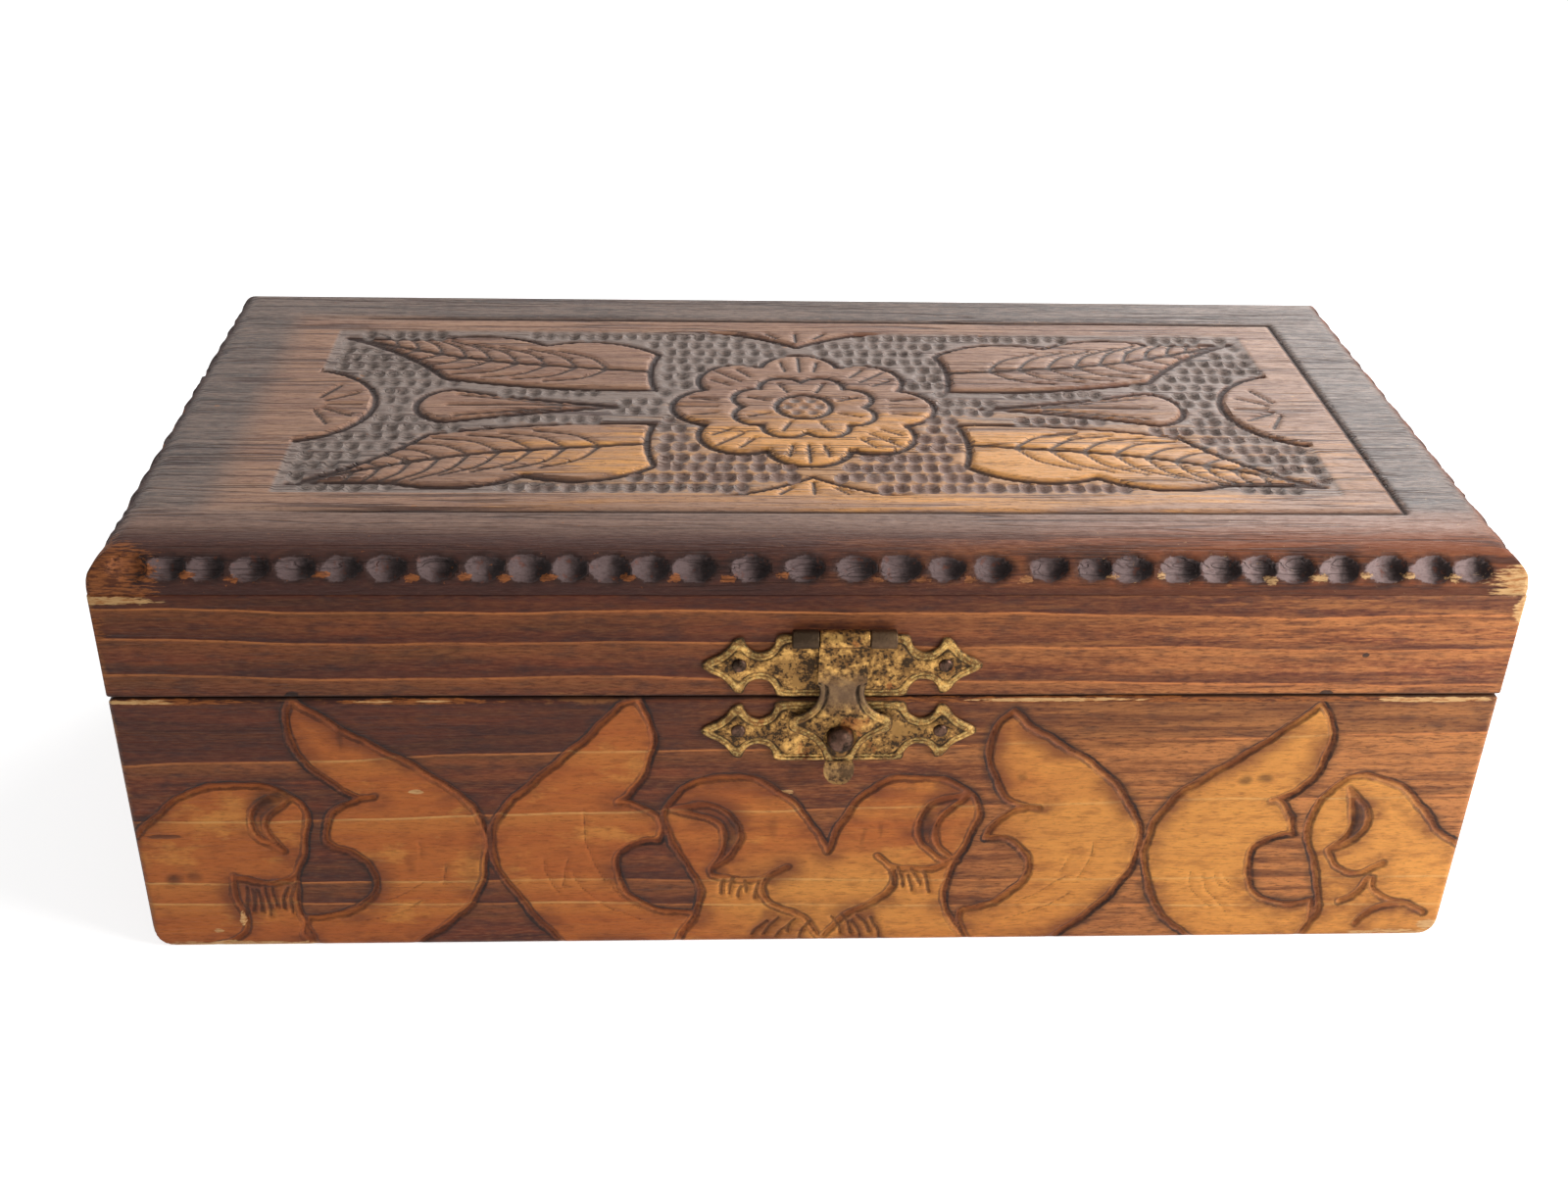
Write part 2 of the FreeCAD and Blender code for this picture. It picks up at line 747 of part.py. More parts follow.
def hinge_leaf(label, side, up, openings, bore_radius):
    """A leaf above (up 1) or below (up -1) the axis, open where the other leaf's knuckles are."""
    body = new_body(label)
    half_leaf = s.leaf_length / 2
    sketch = new_sketch(body, "XZ_Plane", -half_depth)
    near = hinge_axis_z + s.swing_gap * up
    far = hinge_axis_z + s.leaf_width * up
    add_polygon(sketch, [(-half_leaf, near), (half_leaf, near), (half_leaf, far), (-half_leaf, far)])
    pad(body, sketch, s.sheet_thickness, backwards=True)
    hinge_barrel(body, s.hinge_knuckle_radius, s.leaf_length)

    reach = s.hinge_knuckle_radius + s.swing_gap
    sketch = new_sketch(body, "XZ_Plane", -hinge_axis_out)
    for start, end in openings:
        add_rectangle(sketch, start, end, hinge_axis_z - reach, hinge_axis_z + reach)
    pocket(body, sketch)
    drill(body, "YZ_Plane", 0, [(hinge_axis_out, hinge_axis_z)], bore_radius)
    nails = [(s.leaf_nail_spread * end, hinge_axis_z + s.leaf_nail_row * up) for end in (-1, 1)]
    drill(body, "XZ_Plane", -half_depth, nails, pin_hole_radius)
    place_hinge(body, side)


def make_hinge(name, side):
    """The base leaf has a knuckle at each end, and the lid leaf has the one between them."""
    half_leaf = s.leaf_length / 2
    middle = s.hinge_knuckle_length / 2
    around_middle = middle + s.knuckle_gap
    past_end = half_leaf + s.cut_past
    hinge_leaf(f"hinge_{name}_base_leaf", side, -1, [(-around_middle, around_middle)],
               s.hinge_pin_radius + s.fit_gap)
    hinge_leaf(f"hinge_{name}_lid_leaf", side, 1, [(-past_end, -middle), (middle, past_end)],
               s.hinge_pin_radius + s.running_gap)
    pin = new_body(f"hinge_{name}_pin")
    hinge_barrel(pin, s.hinge_pin_radius, s.leaf_length)
    place_hinge(pin, side)


def make_all():
    make_base()
    make_lid_frame()
    make_top_board()
    make_hasp_plate()
    make_strap()
    make_catch()
    make_pins("hasp_plate_pins", plate_pin_spots(hasp_plate_z), -1)
    make_pins("catch_plate_pins", plate_pin_spots(catch_z), -1)
    make_hinge("left", -1)
    make_hinge("right", 1)
    make_pins("hinge_base_nails", hinge_nail_spots(-1), 1)
    make_pins("hinge_lid_nails", hinge_nail_spots(1), 1)


def check_all():
    doc.recompute()
    for item in doc.Objects:
        if {"Invalid", "Error"} & set(item.State):
            raise RuntimeError(f"{item.Label} failed: {item.State}")
    for body in sub_parts:
        if body.Shape.isNull() or not body.Shape.isValid():
            raise RuntimeError(f"{body.Label} has no valid shape")


def export_all():
    os.makedirs("parts", exist_ok=True)
    for body in sub_parts:
        body.Shape.exportStep(f"parts/{body.Label}.step")
        box = body.Shape.BoundBox
        print(f"{body.Label}: {len(body.Shape.Solids)} solids, {body.Shape.Volume:.1f} mm3, "
              f"{box.XLength:.2f} x {box.YLength:.2f} x {box.ZLength:.2f} mm")


make_all()
check_all()
export_all()
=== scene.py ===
import math
import random

import bmesh
import bpy
import numpy as np
from mathutils import Matrix, Vector


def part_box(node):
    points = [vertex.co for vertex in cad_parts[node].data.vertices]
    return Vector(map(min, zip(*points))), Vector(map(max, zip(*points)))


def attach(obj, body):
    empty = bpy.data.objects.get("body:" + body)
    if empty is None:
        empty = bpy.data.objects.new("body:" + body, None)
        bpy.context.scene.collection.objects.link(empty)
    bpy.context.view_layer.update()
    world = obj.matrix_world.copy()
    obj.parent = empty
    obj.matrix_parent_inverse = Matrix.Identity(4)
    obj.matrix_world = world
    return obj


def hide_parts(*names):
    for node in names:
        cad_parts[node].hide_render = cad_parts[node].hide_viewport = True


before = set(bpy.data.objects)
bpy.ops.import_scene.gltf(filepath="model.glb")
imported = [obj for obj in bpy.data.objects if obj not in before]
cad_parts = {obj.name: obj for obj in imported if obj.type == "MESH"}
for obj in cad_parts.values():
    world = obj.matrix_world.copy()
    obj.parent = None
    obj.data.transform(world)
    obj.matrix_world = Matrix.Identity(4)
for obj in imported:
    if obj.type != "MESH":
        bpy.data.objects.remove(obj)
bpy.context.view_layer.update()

# Lengths below are millimetres unless a name says otherwise, and go to metres with MM.
MM = 0.001
MERGE = 0.004 * MM


def box_of(*nodes):
    """The lowest and highest corner, in millimetres, of several nodes together."""
    corners = [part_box(node) for node in nodes]
    low = np.min([np.array(corner[0]) for corner in corners], axis=0)
    high = np.max([np.array(corner[1]) for corner in corners], axis=0)
    return low / MM, high / MM


# The two wooden boxes that the boards make, and the two boards that are carved, low and high corner
BASE_BOX = BASE_LOW, BASE_HIGH = box_of("base_front_board", "base_back_board")
LID_BOX = box_of("lid_front_rail", "lid_back_rail", "lid_top_board")
FRONT_LOW, FRONT_HIGH = box_of("base_front_board")
TOP_LOW, TOP_HIGH = box_of("lid_top_board")
WALL = FRONT_HIGH[1] - FRONT_LOW[1]
SEAM = (BASE_HIGH[2] + LID_BOX[0][2]) / 2
TONGUE = box_of("base_left_board")[0][1] - FRONT_LOW[1]
INNER_FLOOR = box_of("bottom_board")[1][2]

# Colours


def tone(red, green, blue):
    """A colour written as a screen tone from 0 to 255, made linear."""
    return tuple((part / 255) ** 2.2 for part in (red, green, blue)) + (1.0,)


STAIN_DARK = tone(62, 34, 28)
STAIN_MID = tone(134, 71, 47)
STAIN_THIN = tone(180, 109, 64)
STAIN_LIGHT = tone(216, 140, 80)
STAIN_CLOUD = tone(58, 41, 41)
STAIN_STREAK = tone(88, 42, 26)
GROWTH_LINE = tone(224, 138, 80)
LEAF_PALE = tone(228, 140, 68)
LEAF_BRIGHT = tone(255, 180, 90)
LEAF_DEEP = tone(194, 106, 54)
LEAF_CLOUD = tone(148, 82, 46)
LEAF_LINE = tone(255, 204, 128)
LEAF_SHADE = tone(116, 62, 40)
GROOVE_BROWN = tone(150, 82, 48)
BURNT = tone(40, 25, 21)
# Charred dents: the darkest tone is char and painted shade for their steep side; the other two are lit
# copies of the char, the last one painted light that brightens the right end.
DENT_CHAR_AND_SHADE = tone(44, 34, 34)
DENT_LIT_CHAR = tone(112, 92, 90)
DENT_PAINTED_LIGHT = tone(156, 132, 128)
CHAR = tone(111, 99, 93)
CHAR_PALE = tone(158, 140, 130)
# The margin's tones are the dark brown stain greyed with a painted sheen.
TOP_MARGIN_SHEENED = tone(90, 79, 74)
TOP_MARGIN_PALE_SHEENED = tone(132, 112, 101)
TOP_BAND = tone(148, 108, 88)
TOP_BAND_PALE = tone(184, 140, 112)
TOP_WORN = tone(248, 174, 96)
EDGE_WARM = tone(138, 74, 41)
FRONT_WARM = tone(172, 118, 90)
WORN_WOOD = tone(166, 98, 52)
WORN_DARK = tone(98, 54, 32)
BARE_WOOD = tone(228, 180, 122)
SPLINTER = tone(190, 124, 72)
INNER_WOOD = tone(178, 132, 90)
INNER_DARK = tone(132, 92, 60)
BRASS = tone(222, 172, 99)
BRASS_BROWN = tone(124, 92, 58)
BRASS_HIGHLIGHT = tone(238, 202, 126)
BRASS_DARK = tone(58, 49, 41)
PIN_METAL = tone(104, 78, 66)
HANDLED_BRASS = tone(112, 90, 72)
COPPERY = tone(146, 88, 52)
STEEL = tone(150, 146, 140)
RUST = tone(96, 66, 48)


# Node helpers


class Nodes:
    """Short ways to add nodes to a material or a node group."""

    def __init__(self, tree):
        self.tree = tree

    def add(self, kind, inputs=None, **settings):
        """Adds a node, sets its options, and links or sets its inputs."""
        made = self.tree.nodes.new(kind)
        for name, value in settings.items():
            setattr(made, name, value)
        for key, value in (inputs or {}).items():
            if isinstance(value, bpy.types.NodeSocket):
                self.tree.links.new(value, made.inputs[key])
            else:
                made.inputs[key].default_value = value
        return made

    def give(self, sockets, values):
        """Links values to sockets of the same names."""
        for name, value in values.items():
            self.tree.links.new(value, sockets[name])

    def math(self, kind, *values):
        return self.add("ShaderNodeMath", dict(enumerate(values)), operation=kind).outputs[0]

    def vector(self, kind, *values):
        return self.add("ShaderNodeVectorMath", dict(enumerate(values)), operation=kind).outputs[0]

    def parts(self, vector):
        return self.add("ShaderNodeSeparateXYZ", {0: vector}).outputs

    def fade(self, value, start, end, low=0.0, high=1.0):
        """Goes smoothly from low to high as the value goes from start to end."""
        inputs = {"Value": value, "From Min": start, "From Max": end, "To Min": low, "To Max": high}
        return self.add("ShaderNodeMapRange", inputs, interpolation_type="SMOOTHSTEP").outputs[0]

    def noise(self, place, stretch, detail=3.0, rough=0.55, bend=0.0):
        """Cloudy noise about a half, at a scale along the grain and across it, or for each axis."""
        scales = (*stretch, stretch[-1])[:3]
        inputs = {"Vector": self.vector("MULTIPLY", place, scales), "Scale": 1.0, "Detail": detail,
                  "Roughness": rough, "Distortion": bend}
        return self.add("ShaderNodeTexNoise", inputs).outputs["Fac"]

    def moved(self, value, noise, reach):
        """A value moved up and down by a noise about a half."""
        return self.math("MULTIPLY_ADD", self.math("SUBTRACT", noise, 0.5), reach, value)

    def times(self, *values):
        """Several masks multiplied."""
        product = values[0]
        for value in values[1:]:
            product = self.math("MULTIPLY", product, value)
        return product

    def most(self, *values):
        """The largest of several masks."""
        largest = values[0]
        for value in values[1:]:
            largest = self.math("MAXIMUM", largest, value)
        return largest

    def mix(self, share, first, second):
        """One colour laid over another by a share from 0 to 1."""
        made = self.add("ShaderNodeMix", {0: share, 6: first, 7: second}, data_type="RGBA")
        return made.outputs[2]

    def layers(self, colour, *layers):
        """Colours laid over a first one in turn, each with the masks that multiply to its share."""
        for laid, *masks in layers:
            colour = self.mix(self.times(*masks), colour, laid)
        return colour

    def attribute(self, name):
        return self.add("ShaderNodeAttribute", attribute_name=name).outputs["Fac"]

    def on_part(self):
        """Where a point lies on the part, in millimetres."""
        spot = self.add("ShaderNodeTexCoord").outputs["Object"]
        return self.add("ShaderNodeVectorMath", {0: spot, "Scale": 1 / MM}, operation="SCALE").outputs[0]

    def group(self, tree, **inputs):
        return self.add("ShaderNodeGroup", inputs, node_tree=tree).outputs


def new_group(name, outputs, **inputs):
    """An empty shader node group with named sockets: its nodes, its inputs and its outputs."""
    tree = bpy.data.node_groups.new(name, "ShaderNodeTree")
    for socket, kind in inputs.items():
        tree.interface.new_socket(name=socket, in_out="INPUT", socket_type="NodeSocket" + kind)
    for socket in outputs:
        tree.interface.new_socket(name=socket, in_out="OUTPUT", socket_type="NodeSocketFloat")
    nodes = Nodes(tree)
    start = nodes.add("NodeGroupInput")
    end = nodes.add("NodeGroupOutput")
    return nodes, start.outputs, end.inputs


class Finish(Nodes):
    """The nodes of one material with a Principled shader, whose plain values are given by socket name."""

    def __init__(self, name, **settings):
        self.material = bpy.data.materials.new(name)
        self.material.use_nodes = True
        super().__init__(self.material.node_tree)
        self.shader = self.tree.nodes["Principled BSDF"]
        for socket, value in settings.items():
            self.shader.inputs[socket.replace("_", " ")].default_value = value
        self.place = self.on_part()

    def away(self, middle, size):
        """Distance from the middle of an egg-shaped patch, 1 at its edge."""
        near = self.vector("DIVIDE", self.vector("SUBTRACT", self.place, middle), size)
        return self.add("ShaderNodeVectorMath", {0: near}, operation="LENGTH").outputs["Value"]

    def finish(self, colour, roughness, height, depth):
        """Links colour, roughness and relief, whose full height is given in millimetres."""
        bump = self.add("ShaderNodeBump", {"Height": height, "Strength": 1.0, "Distance": depth * MM})
        self.give(self.shader.inputs, {"Base Color": colour, "Roughness": roughness,
                                       "Normal": bump.outputs["Normal"]})
        return self.material


# Effects that several materials share

TREE_HEART = (0.0, 46.0, -118.0)
RING_WIDTH = 6.3


def wood_figure_group():
    """Growth rings, streaks, short dark flecks and thin furrows of a board whose grain runs along X."""
    nodes, given, made = new_group("wood_figure", ("Rings", "Streaks", "Flecks", "Furrows"), Place="Vector")
    place = given["Place"]
    sway = nodes.noise(place, (0.005, 0.02), 2)
    apart = nodes.parts(nodes.vector("SUBTRACT", place, TREE_HEART))
    around = nodes.math("SQRT", nodes.math("ADD", nodes.math("POWER", apart[1], 2.0),
                                           nodes.math("POWER", apart[2], 2.0)))
    swayed = nodes.math("MULTIPLY_ADD", sway, 30.0, around)
    ring = nodes.math("FRACT", nodes.math("DIVIDE", swayed, RING_WIDTH))
    wave = nodes.noise(place, (0.012, 0.34), 2, bend=0.3)
    crack = nodes.fade(nodes.math("ABSOLUTE", nodes.math("SUBTRACT", wave, 0.5)), 0.04, 0.008)
    patchy = nodes.noise(place, (0.025, 0.08), 2)
    nodes.give(made, {
        "Rings": nodes.times(nodes.fade(ring, 0.55, 0.94), nodes.fade(ring, 0.95, 1.0, 1.0, 0.0)),
        "Streaks": nodes.noise(place, (0.03, 0.42), 5, 0.66, 0.4),
        "Flecks": nodes.noise(place, (0.36, 2.1), 3, 0.66, 0.2),
        "Furrows": nodes.times(crack, nodes.fade(patchy, 0.38, 0.6, 0.15, 1.0))})
    return nodes.tree


def edge_wear_group():
    """Rubbed edges of a box, and the share of its surface that lies inside its walls."""
    nodes, given, made = new_group("edge_wear", ("Wear", "Inside"), Place="Vector", Low="Vector",
                                   High="Vector", Reach="Float", Wall="Float")
    from_low = nodes.vector("SUBTRACT", given["Place"], given["Low"])
    from_high = nodes.vector("SUBTRACT", given["High"], given["Place"])
    x, y, z = nodes.parts(nodes.vector("MINIMUM", from_low, from_high))
    side = nodes.math("MINIMUM", x, y)
    edge = nodes.math("MAXIMUM", side, nodes.math("MINIMUM", nodes.math("MAXIMUM", x, y), z))
    rub = nodes.noise(given["Place"], (0.05, 0.05, 0.11), 5, 0.65)
    reach = nodes.times(nodes.fade(rub, 0.44, 0.7, 0.12, 1.9), given["Reach"])
    nodes.give(made, {"Wear": nodes.fade(nodes.math("DIVIDE", edge, reach), 1.0, 0.35),
                      "Inside": nodes.fade(nodes.math("DIVIDE", side, given["Wall"]), 0.84, 0.97)})
    return nodes.tree


def knocks_group():
    """Small pale nicks and dark specks that years of handling leave."""
    nodes, given, made = new_group("knocks", ("Nicks", "Specks"), Place="Vector")
    place = given["Place"]
    spread = nodes.noise(place, (0.035, 0.05), 2)
    dots = nodes.add("ShaderNodeTexVoronoi", {"Vector": nodes.vector("MULTIPLY", place, (0.12, 0.2, 0.2)),
                                              "Scale": 1.0, "Randomness": 1.0}).outputs["Distance"]
    soil = nodes.noise(place, (0.34, 0.5), 4, 0.7)
    nodes.give(made, {"Nicks": nodes.times(nodes.fade(dots, 0.1, 0.05), nodes.fade(spread, 0.55, 0.66)),
                      "Specks": nodes.fade(soil, 0.6, 0.78)})
    return nodes.tree


WOOD_FIGURE = wood_figure_group()
EDGE_WEAR = edge_wear_group()
KNOCKS = knocks_group()


# Wood finishes

RUBBED_MIDDLE = (6.0, FRONT_LOW[1], 11.0)
RUBBED_SIZE = (32.0, 10.0, 17.0)
GOLDEN_MIDDLE = (24.0, -27.0, TOP_HIGH[2])
GOLDEN_SIZE = (82.0, 24.0, 10.0)


class Wood(Finish):
    """A wooden finish: the figure of the wood along its grain, its knocks and its rubbed edges."""

    def __init__(self, name, box=None, along="X", reach=1.3, shine=0.3):
        super().__init__(name, Specular_IOR_Level=shine)
        self.grain = self.place
        if along == "Y":
            x, y, z = self.parts(self.place)
            self.grain = self.add("ShaderNodeCombineXYZ", {0: y, 1: x, 2: z}).outputs[0]
        self.rings, self.streaks, self.flecks, self.furrows = self.group(WOOD_FIGURE, Place=self.grain)
        self.nicks, self.specks = self.group(KNOCKS, Place=self.grain)
        if box:
            low, high = [tuple(corner) for corner in box]
            self.wear, self.inside = self.group(EDGE_WEAR, Place=self.place, Low=low, High=high, Reach=reach,
                                                Wall=WALL)

    def growth_lines(self, lines):
        """Bright lines given by their heights at both ends, the glow below each and the dark above each."""
        along, _, height = self.parts(self.grain)
        level = self.moved(height, self.noise(self.grain, (0.014, 0.03)), 4.0)
        sharp, soft, above = [], [], []
        for left, right in lines:
            slope = (right - left) / (BASE_HIGH[0] - BASE_LOW[0])
            middle = self.math("MULTIPLY_ADD", along, slope, (left + right) / 2)
            gap = self.math("SUBTRACT", level, middle)
            edge = self.fade(gap, 0.25, 0.05)
            reach = 3.0 if above else 40.0
            above.append(self.times(self.fade(gap, -0.1, 0.6), self.fade(gap, reach, 0.6)))
            sharp.append(self.times(edge, self.fade(gap, -0.6, -0.05)))
            soft.append(self.times(edge, self.fade(gap, -5.5, -0.3)))
        patchy = self.fade(self.noise(self.grain, (0.03, 0.1)), 0.38, 0.6, 0.5, 1.0)
        return self.times(self.most(*sharp), patchy), self.most(*soft), self.most(*above)

    def thinning(self, start=-40.0, end=135.0):
        """How thin the stain is, from where it starts to go thin to where it is thinnest."""
        blotch = self.noise(self.place, (0.011, 0.03))
        return self.fade(self.moved(self.parts(self.place)[0], blotch, 130.0), start, end)

    def clouds(self):
        """Soft dark clouds where the stain has soaked in unevenly."""
        return self.fade(self.noise(self.grain, (0.15, 0.5), 5, 0.65), 0.47, 0.66)

    def stain(self, thin, growth=(0.0, 0.0, 0.0), wash=0.0):
        """Dark stain that has gone thin and orange in places, with long streaks and growth lines."""
        line, glow, above = growth
        long_streaks = self.noise(self.grain, (0.04, 0.75), 4, 0.6)

        def as_thin(low, high):
            return self.fade(thin, 0.0, 1.0, low, high)

        return self.layers(
            self.mix(self.fade(self.streaks, 0.24, 0.74), STAIN_DARK, STAIN_MID),
            (self.mix(self.fade(self.streaks, 0.34, 0.64), STAIN_MID, STAIN_THIN), thin),
            (STAIN_LIGHT, self.fade(thin, 0.5, 1.0, 0.0, wash)),
            (STAIN_LIGHT, self.rings, 0.08),
            (STAIN_LIGHT, glow, as_thin(0.2, 0.42)),
            (STAIN_LIGHT, self.fade(self.flecks, 0.52, 0.34), as_thin(0.12, 0.5)),
            (STAIN_DARK, above, 0.46),
            (STAIN_CLOUD, self.clouds(), as_thin(0.5, 0.48)),
            (STAIN_STREAK, self.fade(long_streaks, 0.49, 0.64), as_thin(0.15, 0.6)),
            (STAIN_LIGHT, self.fade(long_streaks, 0.48, 0.36), as_thin(0.0, 0.4)),
            (GROWTH_LINE, line, 0.72),
            (STAIN_DARK, self.fade(self.flecks, 0.5, 0.68), as_thin(0.45, 0.6)))

    def bare(self):
        """Wood that was never stained, darkened by age."""
        return self.layers(
            self.mix(self.fade(self.streaks, 0.32, 0.68), INNER_WOOD, INNER_DARK),
            (INNER_DARK, self.fade(self.flecks, 0.5, 0.7), 0.4),
            (INNER_DARK, self.rings, 0.35))

    def seam_shadow(self):
        """Painted shadow that darkens both sides of the gap between lid and base."""
        away = self.math("ABSOLUTE", self.math("SUBTRACT", self.parts(self.place)[2], SEAM))
        return BURNT, self.fade(away, 1.0, 0.4, 0.0, 0.85)

    def bare_patches(self, patches):
        """Places where the stain is knocked off, each given by its middle and its size."""
        ragged = self.times(self.math("SUBTRACT", self.streaks, 0.5), 1.8)
        ragged = self.moved(ragged, self.flecks, 1.2)
        edges = [self.math("ADD", self.away(middle, size), ragged) for middle, size in patches]
        return self.most(*[self.fade(edge, 1.1, 0.85) for edge in edges])

    def knocked_off(self, colour, worn, fresh, burnt=()):
        """Bare wood over a finish: old orange-brown wear, pale wood where a splinter came off, burns."""
        old = self.layers(
            self.mix(self.fade(self.flecks, 0.4, 0.62), WORN_WOOD, WORN_DARK),
            (WORN_DARK, self.fade(self.streaks, 0.5, 0.66)))
        pale = self.mix(self.fade(self.flecks, 0.42, 0.66), BARE_WOOD, SPLINTER)
        for patches, wood, share in ((worn, old, 0.92), (fresh, pale, 1.0), (burnt, BURNT, 0.9)):
            if patches:
                colour = self.layers(colour, (wood, self.bare_patches(patches), share))
        return colour

    def finish_wood(self, colour, smooth, rough, furrow_depth, depth):
        """Links the colour, a roughness between two values, and the relief of flecks and furrows."""
        roughness = self.fade(self.flecks, 0.3, 0.7, smooth, rough)
        relief = self.math("SUBTRACT", self.times(self.flecks, 0.6), self.times(self.furrows, furrow_depth))
        return self.finish(colour, roughness, relief, depth)


def stained_wood(name, box, along, lines, worn=(), fresh=(), burnt=()):
    """Dark stained boards: bare inside, rubbed at the edges, with lighter growth lines."""
    wood = Wood(name, box, along)
    rubbed = wood.mix(wood.fade(wood.flecks, 0.4, 0.65), SPLINTER, WORN_DARK)
    colour = wood.layers(
        wood.stain(wood.thinning(), wood.growth_lines(lines)),
        (BURNT, wood.specks, 0.35),
        (wood.bare(), wood.inside),
        (rubbed, wood.most(wood.wear, wood.nicks), 0.45),
        # painted shadow in the gap between lid and base
        wood.seam_shadow())
    colour = wood.knocked_off(colour, worn, fresh, burnt)
    return wood.finish_wood(colour, 0.48, 0.66, 0.3, 0.22)


def frieze_leaves(wood, thin, growth, groove, soot):
    """The pale leaves of the frieze: redder at the left, golden at the right and where hands rub them."""
    fade = wood.fade
    blotch = wood.noise(wood.place, (0.045, 0.09), 5, 0.65)
    reddish = wood.most(fade(thin, 0.0, 0.5, 0.7, 0.0), fade(blotch, 0.5, 0.66, 0.0, 0.75))
    golden = wood.most(fade(thin, 0.45, 1.0, 0.0, 0.6), wood.times(growth[1], 0.18),
                       fade(blotch, 0.46, 0.34, 0.0, 0.4))
    return wood.layers(
        wood.mix(fade(wood.streaks, 0.32, 0.68), LEAF_PALE, LEAF_DEEP),
        (LEAF_DEEP, reddish),
        (LEAF_BRIGHT, golden),
        (LEAF_BRIGHT, fade(wood.away(RUBBED_MIDDLE, RUBBED_SIZE), 1.2, 0.3, 0.0, 0.5)),
        (LEAF_CLOUD, wood.clouds(), 0.4),
        (LEAF_LINE, growth[0], 0.45),
        (LEAF_SHADE, fade(wood.flecks, 0.5, 0.7), 0.4),
        (LEAF_SHADE, fade(groove, 6.0, 0.6), fade(soot, 0.42, 0.62, 0.08, 0.8)))


def carved_front_wood(lines, worn, fresh):
    """The burnt frieze: pale leaves on dark stain, with brown grooves, hatching and scorched curls."""
    wood = Wood("carved_front_wood", BASE_BOX)
    fade, times = wood.fade, wood.times
    shake = wood.noise(wood.place, (0.5, 0.5), 5, 0.75)
    groove = wood.moved(wood.attribute("groove"), shake, 0.9)
    hatch = wood.moved(wood.attribute("hatch"), shake, 0.9)
    from_middle = wood.math("ABSOLUTE", wood.parts(wood.place)[0])
    end_grain = fade(from_middle, BASE_HIGH[0] - 0.7, BASE_HIGH[0] - 0.1)
    leaf = wood.math("MULTIPLY_ADD", end_grain, -8.0, wood.attribute("leaf"))
    growth = wood.growth_lines(lines)
    thin = wood.thinning(-65.0, 105.0)
    soot = wood.noise(wood.place, (0.05, 0.09), 5, 0.65)
    outside = fade(leaf, 0.2, -0.4)
    firm = fade(wood.noise(wood.place, (0.14, 0.14), 4, 0.6), 0.36, 0.6, 0.4, 1.0)
    firm_outside = times(firm, wood.math("MULTIPLY_ADD", outside, 0.3, 0.7))
    rims = times(fade(groove, 1.3, 1.0), fade(groove, 0.45, 0.72), firm_outside)
    core = times(fade(groove, 0.3, 0.05), fade(firm, 0.4, 0.8, 0.6, 0.0))
    line = wood.most(rims, core, times(fade(hatch, 0.55, 0.2), 0.65))
    colour = wood.layers(
        wood.stain(thin, growth, wash=0.65),
        (frieze_leaves(wood, thin, growth, groove, soot), fade(leaf, -0.2, 0.2)),
        (LEAF_SHADE, fade(wood.attribute("dusk"), -0.6, 1.2), fade(soot, 0.35, 0.6, 0.35, 0.8)),
        (BURNT, fade(groove, 2.8, 0.8), outside, fade(soot, 0.4, 0.62, 0.1, 0.65)),
        (GROOVE_BROWN, fade(groove, 0.95, 0.6), 0.4),
        (BURNT, line, 0.92),
        (BURNT, wood.attribute("scorch"), fade(soot, 0.3, 0.6, 0.5, 1.0), 0.92),
        (BURNT, wood.specks, 0.25),
        (wood.bare(), wood.inside),
        (SPLINTER, wood.most(wood.wear, wood.nicks), 0.45),
        # painted shadow in the gap between lid and base
        wood.seam_shadow())
    colour = wood.knocked_off(colour, worn, fresh)
    return wood.finish_wood(colour, 0.46, 0.62, 0.3, 0.2)


def edge_stain(wood, thin, z):
    """The lid's rolled edge: dark at the left and foot, warmer to the right."""
    fade = wood.fade
    return wood.layers(
        wood.stain(thin),
        (STAIN_DARK, fade(thin, 0.0, 0.3, 0.7, 0.0)),
        (EDGE_WARM, fade(thin, 0.0, 0.8, 0.0, 0.8)),
        (STAIN_DARK, fade(wood.streaks, 0.46, 0.58, 0.0, 0.75)),
        (STAIN_DARK, fade(z, TOP_LOW[2] + 2.5, TOP_LOW[2] + 1.0, 0.0, 0.55)))


def dent_layers(wood, thin):
    """The lid's burnt edge: a halo round the dents, the dents with painted shade on their steep side and
    painted light that grows towards the right, and the chips broken off between them.
    """
    fade = wood.fade
    uneven = wood.noise(wood.place, (0.5, 0.5), 4, 0.65)
    dent, shade_side, halo = [wood.moved(wood.attribute(name), uneven, reach)
                       for name, reach in (("dent", 1.1), ("shade_side", 1.5), ("halo", 0.8))]
    # Painted light: the dents' lit side grows brighter towards the right, and their steep leaning side goes
    # dark with painted shade.
    lit = wood.mix(fade(thin, 0.2, 1.0, 0.0, 0.8), DENT_LIT_CHAR, DENT_PAINTED_LIGHT)
    burnt = wood.layers(
        wood.mix(fade(shade_side, -0.35, 0.6), lit, DENT_CHAR_AND_SHADE),
        (DENT_CHAR_AND_SHADE, fade(wood.flecks, 0.5, 0.7, 0.0, 0.35)),
        (STAIN_MID, fade(uneven, 0.56, 0.7, 0.0, 0.4)))
    chip = wood.moved(wood.attribute("chip"), wood.noise(wood.place, (0.7, 1.1), 4, 0.7), 2.6)
    chipped = wood.layers(
        wood.mix(fade(thin, 0.1, 0.8), WORN_WOOD, BARE_WOOD),
        (WORN_DARK, fade(wood.flecks, 0.42, 0.62, 0.0, 0.8)))
    return ((BURNT, fade(halo, 0.1, 0.6, 0.0, 0.6)), (burnt, fade(dent, 0.12, 0.4, 0.0, 0.95)),
            (chipped, fade(chip, 0.4, 0.62, 0.0, 0.9)))


